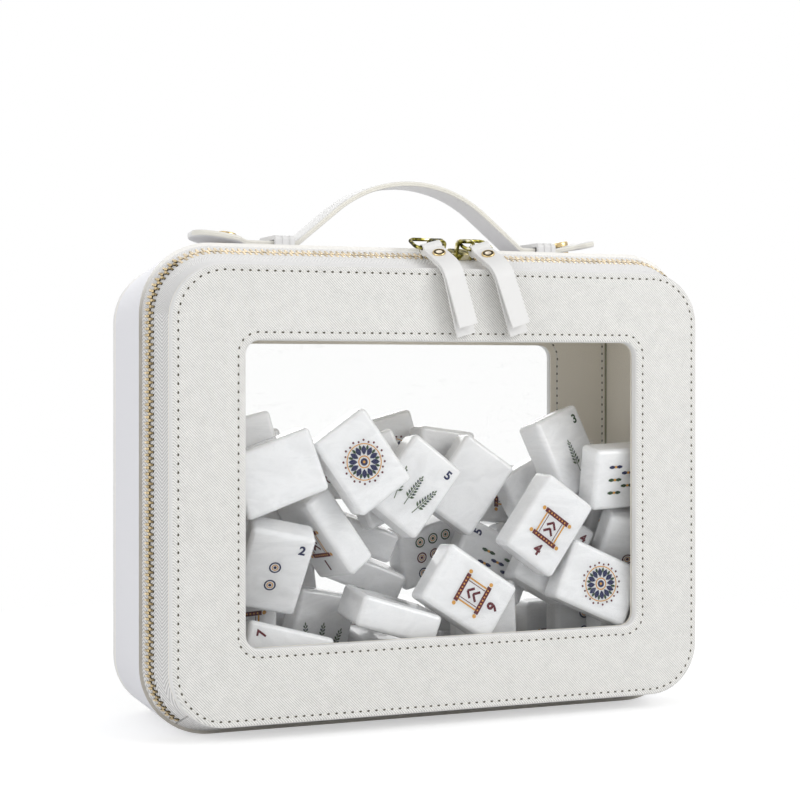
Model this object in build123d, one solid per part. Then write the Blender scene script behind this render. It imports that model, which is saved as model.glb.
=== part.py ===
from build123d import *

import os
from math import acos, cos, hypot, pi, radians, sin

import numpy as np

# A zip-round case with clear windows, and the mahjong tiles that it holds.
# Millimetres, +Z up, +X to the right of the front, and the front faces -Y.
# The origin is the middle of the flat base that the case stands on.
# A depth is measured backwards from the outer face of the front panel.

# ------------------------------------------------------------ driving sizes
panel_width = 246.0
panel_height = 190.0
panel_corner = 23.0
case_depth = 88.0
window_border = 31.5
window_corner = 6.0

leather = 1.4
stiffener = 3.0
lining = 0.8
window_sheet = 0.5
window_tuck = 8.0       # how far the clear sheet runs in behind the leather
edge_round = 1.2
layer_gap = 0.1         # looseness of a stiffener inside its leather

gusset_setback = 24.0   # depth at which the gusset's leather begins
gusset_stiffener = 1.2
gusset_seam = 6.0       # zip tape caught under the gusset's leather
side_rise = 7.4         # how far the gusset stands out past the front panel
top_rise = 9.9
base_rise = 6.5
back_rise = 3.0

tape = 0.8
chain_depth = 18.4      # depth of the middle of the zip chain
chain_slit = 1.2        # space between the two rows of teeth
tooth_pitch = 2.6
tooth_root = 1.7
tooth_head = 1.2
tooth_reach = 2.4
tooth_height = 1.3
zip_stop = 8.0          # the zip stops this far in from the panel's sides
zip_stop_gap = 0.8      # zip tapes to the hinge strip
hinge_gap = 0.3         # hinge strip to the front panel

slider_length = 13.5
slider_waist = 6.0
slider_width = 8.8
slider_plate = 1.1
slider_gap = 0.3        # slider to teeth and tape
slider_meeting = 7.5    # where the two sliders meet, right of the middle
neck_length = 2.6
neck_width = 0.6
crown_length = 8.6
crown_width = 2.4
crown_hole = 4.4        # height of the space under the crown
crown_wall = 1.2
link_length = 13.4      # wire's centre line, along the zip
link_width = 10.6
link_corner = 3.0
link_wire = 1.6
link_seat = 2.0         # link's pivot, from the slider's middle towards its mouth

tab_width = 8.6
tab_leather = 1.25
tab_eye = 5.4           # outer diameter of the fold round the link
tab_eye_hole = 2.4
tab_reach = 5.5         # how far the tab hangs out in front of the panel
tab_bend = 9.0          # inner bend over the case's top edge
tab_drop = 26.0         # front leg below the top edge of the panel
tab_back_leg = 4.0      # how much longer the leg behind is
tab_splay = 2.4
rivet_place = 7.5       # from the link along the tab
rivet_head = 5.8
rivet_post = 2.0
rivet_dome = 1.0
tab_lean_left = 15.0
tab_lean_right = 18.0

strap_width = 18.0
strap = 2.2
strap_clear = 2.6       # under the strap, above the gusset's top
handle_rise = 28.3      # crown of the arch above the strap at its feet
handle_foot = 54.5      # half the distance between the arch's feet
handle_slope = 39.4
handle_foot_bend = 4.0
handle_drift = -5.5     # the strap has slid this far left in its keepers
keeper_place = 63.5
keeper_width = 9.0
keeper_wall = 1.5
keeper_clear = 0.4      # round the strap
keeper_ribs = 3
keeper_rib = 0.5        # how far the ribs stand out
keeper_rib_width = 2.2
paddle_width = 24.0
paddle_length = 23.0
paddle_thick = 3.4
paddle_tilt = 11.0
paddle_bend = 30.0
stud_place = 81.0       # from the middle of the strap
stud_from_tip = 16.5
stud_head = 8.9
stud_cap = 8.0
stud_post = 3.0
stud_dome = 1.2
joint_gap = 0.3         # between two pieces of the handle that part

tile_height = 38.0
tile_width = 28.0
tile_thick = 14.0
tile_chamfer = 1.6
tile_gap = 0.12         # least space between two tiles
tile_contact = 0.2      # tiles further apart than this don't hold each other up
tile_settle = 5.0       # how far a tile that shows comes down as the heap settles
tile_window_gap = 0.5   # tiles to the lining behind the window
tile_heap_top = 132.0   # top of the heap above the base
tile_heap_peak = 142.0  # the odd tile stands up to this height
heap_seed = 3

# ------------------------------------------------------------ derived places
front_y = -case_depth / 2
lift = base_rise                      # the front panel's lower edge
panel_stack = leather + stiffener + lining
panel_top = lift + panel_height
zip_end = panel_width / 2 - zip_stop
window_middle = lift + panel_height / 2
gusset_end = case_depth - panel_stack
gusset_wall = leather + gusset_stiffener + lining
far = 2 * case_depth                  # longer than any cut needs
parts = {}


def growth(depth):
    """How far the gusset stands out past the front panel: side, top, base."""
    share = (depth - gusset_setback) / (gusset_end - gusset_setback)
    side = side_rise + (back_rise - side_rise) * share
    top = top_rise + (back_rise - top_rise) * share
    return side, top, base_rise


def tape_growth(depth):
    """The same for the zip tape: a slope, then a seam under the gusset's leather."""
    if depth > gusset_setback:
        return tuple(rise - leather for rise in growth(depth))
    share = (depth - panel_stack) / (gusset_setback - panel_stack)
    return tuple((rise - leather) * share for rise in (side_rise, top_rise, base_rise))


def outline(rises, inset=0.0):
    """The case's rounded outline as a sketch whose x is X and whose y is Z."""
    side, top, base = rises
    low, high = lift - base + inset, panel_top + top - inset
    width = panel_width + 2 * (side - inset)
    return Pos(0, (low + high) / 2) * RectangleRounded(
        width, high - low, panel_corner + side - inset
    )


def opening(spread=0.0):
    """The window's outline, made larger all round by spread."""
    width = panel_width - 2 * window_border + 2 * spread
    height = panel_height - 2 * window_border + 2 * spread
    return Pos(0, window_middle) * RectangleRounded(
        width, height, window_corner + spread
    )


def upright(depth):
    return Plane(origin=(0, front_y + depth, 0), x_dir=(1, 0, 0), z_dir=(0, -1, 0))


def band(depths, rises, inset, thickness):
    """A closed band round the case, through the outlines at the given depths."""
    walls = [
        loft([upright(d) * outline(rises(d), inset + t) for d in depths], ruled=True)
        for t in (0, thickness)
    ]
    return walls[0] - walls[1]


def foot_block(half_width):
    """The space at the base, between the two ends of the zip."""
    height = 2 * (lift + panel_corner)
    return Box(2 * half_width, 2 * far, height)


# ------------------------------------------------------------ panels
def make_panel(side, face, rises):
    """Leather with turned edges, stiffener, clear sheet and lining of one face."""

    def layer(sketch, near, deep):
        return extrude(face.offset(-near) * sketch, amount=near - deep)

    sheet_near = leather + stiffener - window_sheet
    lining_near = leather + stiffener
    skin = layer(outline(rises) - opening(), 0, lining_near)
    skin -= layer(
        outline(rises, leather) - opening(leather), leather, lining_near
    )
    skin -= layer(opening(leather), sheet_near, lining_near)
    outer = skin.faces().sort_by(Axis.Y)[0 if side == "front" else -1]
    skin = fillet(outer.edges(), edge_round)
    board = layer(
        outline(rises, leather + layer_gap) - opening(leather + layer_gap),
        leather,
        lining_near,
    )
    board -= layer(opening(window_tuck), sheet_near, lining_near)
    parts[f"{side}_panel"] = skin
    parts[f"{side}_stiffener"] = board
    parts[f"{side}_window"] = layer(
        opening(window_tuck - layer_gap), sheet_near, lining_near
    )
    parts[f"{side}_lining"] = layer(
        outline(rises) - opening(), lining_near, panel_stack
    )


back_face = Plane(
    origin=(0, front_y + case_depth, 0), x_dir=(-1, 0, 0), z_dir=(0, 1, 0)
)
make_panel("front", upright(0), (0, 0, 0))
make_panel("back", back_face, growth(gusset_end))

# ------------------------------------------------------------ gusset, tapes, hinge
seam_depth = gusset_setback + gusset_seam
parts["gusset_shell"] = band((gusset_setback, gusset_end), growth, 0, leather)
parts["gusset_stiffener"] = band(
    (seam_depth, gusset_end), growth, leather, gusset_stiffener
)
parts["gusset_lining"] = band(
    (gusset_setback, gusset_end), growth, leather + gusset_stiffener, lining
)
slit_depth = chain_slit / 2
parts["zip_tape_front"] = band(
    (panel_stack, chain_depth - slit_depth), tape_growth, 0, tape
) - foot_block(zip_end)
parts["zip_tape_rear"] = band(
    (chain_depth + slit_depth, gusset_setback, seam_depth), tape_growth, 0, tape
) - foot_block(zip_end)
parts["hinge_strip"] = band(
    (panel_stack + hinge_gap, gusset_setback, seam_depth),
    tape_growth,
    0,
    gusset_stiffener,
) & foot_block(zip_end - zip_stop_gap)


# ------------------------------------------------------------ zip chain
def rim(run, share, depth):
    """A point on the right half of the tape's outer face, as (x, y, z).

    The runs go from the middle of the top, round the corner, down the side
    and round the lower corner; share is how far along its run the point is.
    """
    side, top, base = tape_growth(depth)
    radius = panel_corner + side
    corner_x = panel_width / 2 - panel_corner
    high, low = panel_top + top - radius, lift - base + radius
    if run == "top":
        x, z = share * corner_x, high + radius
    elif run == "side":
        x, z = corner_x + radius, high + share * (low - high)
    else:
        turn = share * pi / 2 if run == "corner" else pi / 2 + share * pi / 2
        middle = high if run == "corner" else low
        x, z = corner_x + radius * sin(turn), middle + radius * cos(turn)
    return Vector(x, front_y + depth, z)


def rim_runs():
    """Each run of the chain's right half with its length."""
    radius = panel_corner + tape_growth(chain_depth)[0]
    quarter = radius * pi / 2
    down = rim("side", 0, chain_depth).Z - rim("side", 1, chain_depth).Z
    heel = acos((zip_end - (panel_width / 2 - panel_corner)) / radius) * radius
    corner_x = panel_width / 2 - panel_corner
    return (
        ("top", corner_x, corner_x),
        ("corner", quarter, quarter),
        ("side", down, down),
        ("heel", heel, quarter),
    )


def chain_seat(distance, hand):
    """The chain's frame at a distance from the top's middle: x along the chain,
    y backwards across it and z outwards. hand is 1 on the right and -1 on the left."""
    for run, available, whole in rim_runs():
        if distance <= available:
            break
        distance -= available
    else:
        return None
    here = rim(run, distance / whole, chain_depth)
    across = (rim(run, distance / whole, chain_depth + 1) - here).normalized()
    step = 0.01
    along = (rim(run, (distance + step) / whole, chain_depth) - here).normalized()
    outwards = along.cross(across)
    if hand < 0:
        here = Vector(-here.X, here.Y, here.Z)
        along = Vector(along.X, -along.Y, -along.Z)
        outwards = Vector(-outwards.X, outwards.Y, outwards.Z)
    return Plane(origin=here, x_dir=along, z_dir=outwards)


def make_teeth(name, toward):
    """One row of teeth; toward is -1 for the front row and 1 for the rear row."""
    near, end = toward * chain_slit / 2, toward * (chain_slit / 2 + tooth_reach)
    tooth = extrude(
        Polygon(
            (-tooth_head / 2, near),
            (tooth_head / 2, near),
            (tooth_root / 2, end),
            (-tooth_root / 2, end),
            align=None,
        ),
        amount=tooth_height,
        dir=(0, 0, 1),
    )
    first = tooth_pitch / 2 if toward < 0 else 0.0
    row = []
    for hand in (1, -1):
        distance = first if hand > 0 or first else tooth_pitch
        while (seat := chain_seat(distance + tooth_root / 2, hand)) is not None:
            row.append(chain_seat(distance, hand).location * tooth)
            distance += tooth_pitch
    parts[name] = Compound(row)


make_teeth("zip_teeth_front", -1)
make_teeth("zip_teeth_rear", 1)


# ------------------------------------------------------------ sliders and pulls
def top_seat(x):
    """The chain's frame on the straight run along the top, at X = x."""
    seat = chain_seat(abs(x), 1)
    return Plane(origin=(x, seat.origin.Y, seat.origin.Z), x_dir=(1, 0, 0), z_dir=seat.z_dir)


plate_low = tooth_height + slider_gap
plate_top = plate_low + slider_plate
under_high = -tape - slider_gap
link_height = plate_top + crown_hole - link_wire / 2 - slider_gap


def make_slider():
    """A slider in the chain's frame, with its wide mouth towards +x."""
    half, wide, waist = slider_length / 2, slider_width / 2, slider_waist / 2
    plan = Polygon(
        (-half, -waist), (half, -wide), (half, wide), (-half, waist), align=None
    )
    plan = fillet(plan.vertices(), waist / 2)
    top_plate = extrude(Plane.XY.offset(plate_low) * plan, amount=slider_plate)
    front_half = Pos(0, -far / 2 + neck_width / 2) * Rectangle(far, far)
    under_plate = extrude(
        Plane.XY.offset(under_high - slider_plate) * (plan & front_half),
        amount=slider_plate,
    )
    neck = Pos(half - neck_length, 0, under_high) * Box(
        neck_length,
        neck_width,
        plate_low - under_high,
        align=(Align.CENTER, Align.CENTER, Align.MIN),
    )
    flange_room = chain_slit / 2 + tooth_reach + slider_gap
    flange = extrude(
        Plane.XY.offset(slider_gap)
        * (plan & Pos(0, -far / 2 - flange_room) * Rectangle(far, far)),
        amount=plate_low - slider_gap,
    )
    side_view = Plane(origin=(0, crown_width / 2, 0), x_dir=(1, 0, 0), z_dir=(0, -1, 0))
    arch = Pos(0, plate_top + (crown_hole + crown_wall) / 2) * RectangleRounded(
        crown_length, crown_hole + crown_wall, crown_hole / 2
    )
    foot = Pos(0, plate_top + crown_hole / 4) * Rectangle(crown_length, crown_hole / 2)
    hole_high = crown_hole + slider_plate / 2
    hole = Pos(0, plate_top + crown_hole - hole_high / 2) * RectangleRounded(
        crown_length - 2 * crown_wall, hole_high, crown_wall
    )
    plate_line = Pos(0, plate_top + far / 2) * Rectangle(far, far)
    crown = extrude(side_view * (((arch + foot) - hole) & plate_line), amount=crown_width)
    return top_plate + under_plate + neck + flange + crown


def make_link(hand):
    """A wire link in the chain's frame, pivoting on the crown and lying to one
    side: hand is -1 where it lies towards -x."""
    path = Pos(hand * link_length / 2, 0, link_height) * RectangleRounded(
        link_length, link_width, link_corner
    )
    wire = path.face().outer_wire()
    start = wire @ 0
    section = Plane(origin=start, z_dir=wire % 0) * Circle(link_wire / 2)
    return sweep(section, path=wire)


def make_tab(lean, link_front):
    """A folded leather tab and its rivet: it hangs from the link's front bar at
    link_front, over the case's top edge and down in front of the panel."""
    fold_y, fold_z = link_front.Y, link_front.Z
    bend_y, bend_z = front_y - tab_reach, panel_top
    run = hypot(bend_y - fold_y, bend_z - fold_z)
    slope = ((bend_y - fold_y) / run, (bend_z - fold_z) / run)
    outwards = (slope[1], -slope[0])
    half = tab_leather / 2

    def strip(side, foot_y, foot_z):
        lift_off = side * half
        start = (fold_y + outwards[0] * lift_off, fold_z + outwards[1] * lift_off)
        corner = (bend_y - lift_off, bend_z + lift_off * (1 - slope[1]) / 2)
        line = FilletPolyline(
            start, corner, (foot_y, foot_z), radius=tab_bend + lift_off
        )
        return trace(line, tab_leather)

    foot_front = (bend_y - tab_splay, panel_top - tab_drop)
    foot_back = (bend_y + tab_splay, panel_top - tab_drop - tab_back_leg)
    profile = strip(1, *foot_front) + strip(-1, *foot_back)
    profile += Pos(fold_y, fold_z) * Circle(tab_eye / 2)
    side_view = Plane(
        origin=(link_front.X - tab_width / 2, 0, 0), x_dir=(0, 1, 0), z_dir=(1, 0, 0)
    )
    tab = extrude(side_view * profile, amount=tab_width)
    stem = 2 * tab_leather
    rivet_profile = make_face(
        Polyline(
            (0, -stem / 2 - rivet_dome),
            (rivet_head / 2 - rivet_dome / 2, -stem / 2 - rivet_dome),
            (rivet_head / 2, -stem / 2),
            (rivet_post / 2, -stem / 2),
            (rivet_post / 2, stem / 2),
            (rivet_head / 2, stem / 2),
            (rivet_head / 2 - rivet_dome / 2, stem / 2 + rivet_dome),
            (0, stem / 2 + rivet_dome),
            close=True,
        )
    )
    rivet = revolve(Plane.XZ * rivet_profile, Axis.Z)
    seat = Plane(
        origin=(
            link_front.X,
            fold_y + slope[0] * rivet_place,
            fold_z + slope[1] * rivet_place,
        ),
        x_dir=(1, 0, 0),
        z_dir=(0, outwards[0], outwards[1]),
    )
    rivet = seat.location * rivet
    swing = Axis((link_front.X, fold_y, fold_z), (0, 1, 0))
    tab = (tab - rivet).rotate(swing, -lean)
    hole = Location(link_front) * Rotation(0, 90, 0) * Cylinder(tab_eye_hole / 2, far)
    return tab - hole, rivet.rotate(swing, -lean)


slider = make_slider()
for side, hand, lean in (("left", -1, tab_lean_left), ("right", 1, tab_lean_right)):
    x = slider_meeting + hand * (slider_length / 2 + slider_gap / 2)
    seat = top_seat(x)
    facing = slider if hand < 0 else slider.mirror(Plane.YZ)
    parts[f"slider_{side}"] = seat.location * facing
    pivot = top_seat(x - hand * link_seat)
    parts[f"pull_link_{side}"] = pivot.location * make_link(hand)
    front_bar = pivot.from_local_coords(
        Vector(hand * link_length / 2, -link_width / 2, link_height)
    )
    tab, rivet = make_tab(lean, front_bar)
    parts[f"pull_tab_{side}"] = tab
    parts[f"pull_rivet_{side}"] = rivet

# ------------------------------------------------------------ handle
strap_y = 0.0
handle_depth = strap_y - front_y
top_here = panel_top + growth(handle_depth)[1]
strap_low = top_here + strap_clear
strap_middle = strap_low + strap / 2
gusset_block = loft(
    [upright(d) * outline(growth(d)) for d in (gusset_setback, gusset_end)], ruled=True
)
length_view = Plane(
    origin=(0, strap_y + strap_width / 2, 0), x_dir=(1, 0, 0), z_dir=(0, -1, 0)
)


def make_arch():
    """The raised strap between the keepers."""
    middle = handle_drift / 2
    slope = radians(handle_slope)
    peak = handle_foot * sin(slope) / cos(slope)
    crown_bend = (peak - handle_rise) / (1 / cos(slope) - 1)
    inner_end = keeper_place - keeper_width / 2 - joint_gap
    line = FilletPolyline(
        (-inner_end, strap_middle),
        (middle - handle_foot, strap_middle),
        (middle, strap_middle + peak),
        (middle + handle_foot, strap_middle),
        (inner_end, strap_middle),
        radius=[handle_foot_bend, crown_bend, handle_foot_bend],
    )
    return extrude(length_view * trace(line, strap), amount=strap_width)


def make_end(hand):
    """One end of the strap: a neck through the keeper and a padded, upturned
    paddle, with the stud that is set in it."""
    tip = hand * (stud_place + stud_from_tip) + handle_drift
    neck_start = hand * (keeper_place - keeper_width / 2)
    paddle_start = tip - hand * paddle_length
    slope = radians(paddle_tilt)
    rise = paddle_length * sin(slope) / cos(slope)
    stud_x = hand * stud_place + handle_drift
    stud_z = strap_middle + abs(stud_x - paddle_start) * sin(slope) / cos(slope)
    line = FilletPolyline(
        (neck_start, strap_middle),
        (paddle_start, strap_middle),
        (tip, strap_middle + rise),
        radius=paddle_bend,
    )
    wide = Plane(
        origin=(0, strap_y + paddle_width / 2, 0), x_dir=(1, 0, 0), z_dir=(0, -1, 0)
    )
    bent = extrude(wide * trace(line, strap), amount=paddle_width)
    pad = extrude(wide * trace(line, paddle_thick), amount=paddle_width)
    neck_plan = Pos((neck_start + stud_x) / 2, strap_y) * Rectangle(
        abs(stud_x - neck_start), strap_width
    )
    paddle_plan = Pos((paddle_start + tip) / 2, strap_y) * RectangleRounded(
        paddle_length, paddle_width, paddle_width * 0.45
    )
    high = Plane.XY.offset(strap_low - far / 4)
    neck = bent & extrude(high * neck_plan, amount=far)
    paddle = pad & extrude(high * paddle_plan, amount=far)
    end = neck + paddle
    half = paddle_thick / 2
    profile = make_face(
        Polyline(
            (0, -half - stud_dome),
            (stud_cap / 2 - stud_dome, -half - stud_dome),
            (stud_cap / 2, -half),
            (stud_post / 2, -half),
            (stud_post / 2, half),
            (stud_head / 2, half),
            (stud_head / 2, half + stud_dome / 2),
            (stud_head / 2 - stud_dome, half + stud_dome),
            (0, half + stud_dome),
            close=True,
        )
    )
    stud = revolve(Plane.XZ * profile, Axis.Z)
    seat = Plane(
        origin=(stud_x, strap_y, stud_z),
        x_dir=(cos(slope), 0, hand * sin(slope)),
        z_dir=(-hand * sin(slope), 0, cos(slope)),
    )
    stud = seat.location * stud
    return end - stud, stud


def make_keeper(hand):
    """A ribbed leather loop that the strap slides in, sewn to the gusset's top."""
    inner_wide = strap_width + 2 * keeper_clear
    inner_high = strap + 2 * keeper_clear
    start = hand * keeper_place - keeper_width / 2

    def loop(x, wall, width):
        """The loop's outside, from x on, with walls of this thickness."""
        end_view = Plane(origin=(x, strap_y, 0), x_dir=(0, 1, 0), z_dir=(1, 0, 0))
        high = strap_middle + inner_high / 2 + wall
        outside = Pos(0, (high + panel_top) / 2) * Rectangle(
            inner_wide + 2 * wall, high - panel_top
        )
        outside = fillet(outside.vertices().group_by(Axis.Y)[-1], wall)
        inside = Pos(0, strap_middle) * Rectangle(inner_wide, inner_high)
        return extrude(end_view * (outside - inside), amount=width)

    keeper = loop(start, keeper_wall, keeper_width)
    pitch = (keeper_width - keeper_rib_width) / (keeper_ribs - 1)
    for number in range(keeper_ribs):
        keeper += loop(start + number * pitch, keeper_wall + keeper_rib, keeper_rib_width)
    return keeper - gusset_block


parts["handle_strap"] = make_arch()
for side, hand in (("left", -1), ("right", 1)):
    end, stud = make_end(hand)
    parts[f"handle_end_{side}"] = end
    parts[f"stud_{side}"] = stud
    parts[f"keeper_{side}"] = make_keeper(hand)

# ------------------------------------------------------------ tiles
tile_half = np.array([tile_width, tile_thick, tile_height]) / 2
tile_reach = float(np.linalg.norm(tile_half))
heap_floor = gusset_wall + tile_window_gap
heap_front = front_y + panel_stack + tile_window_gap
heap_back = -front_y - panel_stack - tile_window_gap
back_half_width = panel_width / 2 + back_rise - gusset_wall - tile_window_gap
front_half_width = panel_width / 2 - panel_corner / 2
corner_limit = panel_width / 2 - lift - 0.7 * panel_corner

# Walls of the heap's space, each as a normal and how far it lies along it. The
# slanting ones keep the tiles off the hinge strip, out of the rounded lower
# corners, and out of the way of the zip tape as it swings up with the front.
slant = (back_half_width - front_half_width) / gusset_setback
strip_slope = (base_rise - leather) / (gusset_setback - panel_stack)
strip_top = lift + gusset_stiffener + tile_window_gap
walls = [((0, 0, -1), -heap_floor), ((0, -1, 0), -heap_front), ((0, 1, 0), heap_back)]
walls.append(((0, -strip_slope, -1), -strip_top - strip_slope * (front_y + panel_stack)))
for hand in (1, -1):
    walls.append(((hand, 0, 0), back_half_width))
    walls.append(((hand, -slant, 0), front_half_width - slant * heap_front))
    walls.append(((hand, 0, -1), corner_limit))
wall_normals = np.array([wall[0] for wall in walls], float)
wall_limits = np.array([wall[1] for wall in walls], float)


def turned(spin=0, lean=0, turn=0, roll=0):
    """A tile's attitude. At zero its face looks to the front, standing upright.
    Spin turns it clockwise in its own face, lean then tips its top backwards,
    turn faces it to the right and roll turns it clockwise as seen from the front."""
    a, b, c, d = (radians(angle) for angle in (spin, lean, turn, roll))
    own = np.array([[cos(a), 0, sin(a)], [0, 1, 0], [-sin(a), 0, cos(a)]])
    tip = np.array([[1, 0, 0], [0, cos(b), sin(b)], [0, -sin(b), cos(b)]])
    face = np.array([[cos(c), -sin(c), 0], [sin(c), cos(c), 0], [0, 0, 1]])
    seen = np.array([[cos(d), 0, sin(d)], [0, 1, 0], [-sin(d), 0, cos(d)]])
    return seen @ face @ tip @ own


def reach_along(directions):
    """How far a chamfered tile reaches along directions given in its own frame."""
    sizes = np.sort(np.abs(directions), axis=-1)
    cut = np.minimum(sizes[..., 0] + sizes[..., 1], sizes.sum(axis=-1) / 2)
    return np.abs(directions) @ tile_half - tile_chamfer * cut


def inside_walls(places, attitudes):
    reach = reach_along(wall_normals @ attitudes)
    return (places @ wall_normals.T + reach <= wall_limits).all(axis=1)


def clear_of(places, attitudes, others, other_attitudes, gap=tile_gap):
    """Which of the trial places clear all the other tiles: a pair is clear when
    some direction square to two faces or two edges parts them by the gap."""
    apart = np.linalg.norm(others[None] - places[:, None], axis=2)
    clear = (apart > tile_thick).all(axis=1)
    one, two = np.nonzero((apart < 2 * tile_reach) & clear[:, None])
    mine, theirs = attitudes[one], other_attitudes[two]
    faces = np.concatenate([mine, theirs], axis=2).swapaxes(1, 2)
    edges = np.cross(faces[:, :3, None], faces[:, None, 3:]).reshape(-1, 9, 3)
    directions = np.concatenate([faces, edges], axis=1)
    shift = np.abs(directions @ (others[two] - places[one])[:, :, None])[:, :, 0]
    need = reach_along(directions @ mine) + reach_along(directions @ theirs)
    need += gap * np.linalg.norm(directions, axis=2) + 1e-9
    touching = (shift <= need).all(axis=1)
    clear[one[touching]] = False
    return clear


def small_turns(rng, count, size):
    """Random small turns: each a turn about one random line."""
    x, y, z = (rng.normal(size=(count, 3)) * size).T
    angle = np.sqrt(x * x + y * y + z * z)[:, None, None]
    none = np.zeros(count)
    cross = np.array([[none, -z, y], [z, none, -x], [-y, x, none]]).transpose(2, 0, 1)
    return (
        np.eye(3)
        + np.sin(angle) / angle * cross
        + (1 - np.cos(angle)) / angle**2 * cross @ cross
    )


def settle(place, attitude, others, other_attitudes, rng, start, rounds=60, handful=20):
    """Lets a tile fall among the others by ever smaller moves: of each handful
    of moves, the lowest clear place is taken."""
    for size in np.geomspace(start, tile_gap / 2, rounds):
        moves = rng.normal(size=(handful, 3)) * size * (0.4, 0.4, 0.3)
        places = place + moves - (0, 0, 0.3 * size)
        attitudes = small_turns(rng, handful, 0.012 * size) @ attitude
        good = np.flatnonzero((places[:, 2] < place[2]) & inside_walls(places, attitudes))
        if not len(good):
            continue
        good = good[clear_of(places[good], attitudes[good], others, other_attitudes)]
        if len(good):
            lowest = good[places[good, 2].argmin()]
            place, attitude = places[lowest], attitudes[lowest]
    return place, attitude


# The tiles that show in the window, the nearest first: suit, X, least depth
# behind the window, height of the middle, then spin, lean, turn and roll.
shown_tiles = (
    ("flowers", -38, 0, 116, -35, 4, 0, 0),
    ("leaves", -6, 0, 101, 38, 4, 0, 0),
    ("blank", 26, 1, 102, 35, 5, -3, 0),
    ("banners", 51, 0, 86, 36, 3, 0, 0),
    ("banners", 13, 0, 57, -58, 4, 0, 0),
    ("flowers", 77, 0, 56, -64, 3, 0, 0),
    ("blank", -76, 0, 109, 71, 4, 0, 0),
    ("leaves", 73, 3, 120, -19, 14, 16, 0),
    ("banners", -46, 1, 84, 0, 0, -76, -34),
    ("dots", -71, 1, 72, 0, -26, -6, 12),
    ("banners", -78, 1, 46, -5, -14, 0, 0),
    ("sticks", -22, 1, 79, 90, 84, 0, 22),
    ("dots", -20, 1, 63, 90, 84, 0, 22),
    ("dots", -49, 1, 62, 90, 84, 0, 14),
    ("sticks", -47, 1, 47, 90, 84, 0, 9),
    ("leaves", -20, 1, 47, 90, 84, 0, 18),
    ("sticks", 48, 2, 113, 0, 84, 0, 6),
    ("dots", 47, 3, 131, 0, 84, 0, 6),
    ("sticks", 68, 8, 99, 62, 8, 0, 0),
    ("dots", 94, 8, 99, -4, 8, 8, 0),
    ("leaves", 62, 8, 70, 30, 8, 0, 0),
    ("banners", 88, 8, 80, -64, 10, 6, 0),
    ("sticks", 40, 6, 62, -62, 10, 4, 0),
    ("dots", 38, 4, 43, 90, 60, 0, 8),
    ("leaves", -8, 10, 34, 90, 80, 0, 10),
    ("dots", 22, 12, 121, 8, 8, 0, 0),
    ("banners", -14, 14, 124, -22, 6, 0, 0),
    ("flowers", 2, 20, 128, -14, 6, 0, 0),
    ("banners", 93, 14, 120, -6, 10, 0, 0),
    ("leaves", -80, 12, 126, -18, 8, 0, 0),
    ("sticks", 34, 14, 128, 66, 8, 0, 0),
    ("flowers", -52, 14, 98, 60, 6, 0, 0),
)


def fill(heap, rng, top, tries, handful=300):
    """Sets tiles in whatever room is left below top, the lowest room first."""
    names = ("dots", "sticks", "leaves", "banners", "flowers")
    low = (-back_half_width, heap_front, heap_floor)
    high = (back_half_width, heap_back, top)
    for _ in range(tries):
        places = rng.uniform(low, high, (handful, 3))
        leans = rng.choice((0, 0, 0, 0, 90), handful) + rng.normal(0, 3, handful)
        turns = rng.choice((0, 180), handful) + rng.normal(0, 3, handful)
        spins = rng.choice((0, 90), handful) + rng.normal(0, 8, handful)
        attitudes = np.array([turned(*three) for three in zip(spins, leans, turns)])
        good = places[:, 2] + reach_along(attitudes[:, 2]) <= top
        good = np.flatnonzero(good & inside_walls(places, attitudes))
        good = good[clear_of(places[good], attitudes[good], heap[0], heap[1])]
        if len(good):
            lowest = good[places[good, 2].argmin()]
            place, attitude = settle(
                places[lowest], attitudes[lowest], heap[0], heap[1], rng, 8.0, 40
            )
            heap[0] = np.vstack([heap[0], place])
            heap[1] = np.concatenate([heap[1], attitude[None]])
            heap[2].append(names[len(heap[2]) % len(names)])


def show(heap):
    """Sets the tiles that show in the window, each as near to it as it clears."""
    for suit, x, depth, z, spin, lean, turn, roll in shown_tiles:
        attitude = turned(spin, lean, turn, roll)
        height = min(z + tile_settle, tile_heap_peak - reach_along(attitude[2]))
        if suit == "blank":
            attitude = attitude @ turned(lean=180)
            suit = "dots"
        nearest = heap_front + reach_along(attitude[1]) + depth
        depths = np.arange(nearest, heap_back - reach_along(attitude[1]), 0.25)
        places = np.array([(x, y, height) for y in depths], float)
        attitudes = np.broadcast_to(attitude, (len(places), 3, 3))
        good = inside_walls(places, attitudes)
        good &= clear_of(places, attitudes, heap[0], heap[1])
        if good.any():
            heap[0] = np.vstack([heap[0], places[good][0]])
            heap[1] = np.concatenate([heap[1], attitude[None]])
            heap[2].append(suit)


def sink(heap, rng, start, first=1, hanging=False):
    """Lets the tiles settle in turn, the lowest first, from the first one on, or
    only those that hang clear of all the rest."""
    order = heap[0][:, 2].argsort()
    for index in order[order >= first]:
        rest = np.arange(len(heap[0])) != index
        place, attitude = heap[0][index], heap[1][index]
        others, other_attitudes = heap[0][rest], heap[1][rest]
        alone = clear_of(
            place[None], attitude[None], others, other_attitudes, tile_contact
        )
        if alone[0] or not hanging:
            heap[0][index], heap[1][index] = settle(
                place, attitude, others, other_attitudes, rng, start, 30
            )


def make_heap():
    """Places and attitudes of all the tiles, with the suit of each."""
    rng = np.random.default_rng(heap_seed)
    heap = [np.array([[0.0, 9e3, 0.0]]), np.eye(3)[None], [None]]
    show(heap)
    shown = len(heap[0])
    for _ in range(4):
        fill(heap, rng, tile_heap_top, 200)
        sink(heap, rng, 8.0, shown)
    sink(heap, rng, 0.8)
    for _ in range(10):
        sink(heap, rng, 1.0, hanging=True)
    return heap[0][1:], heap[1][1:], heap[2][1:]


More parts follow.
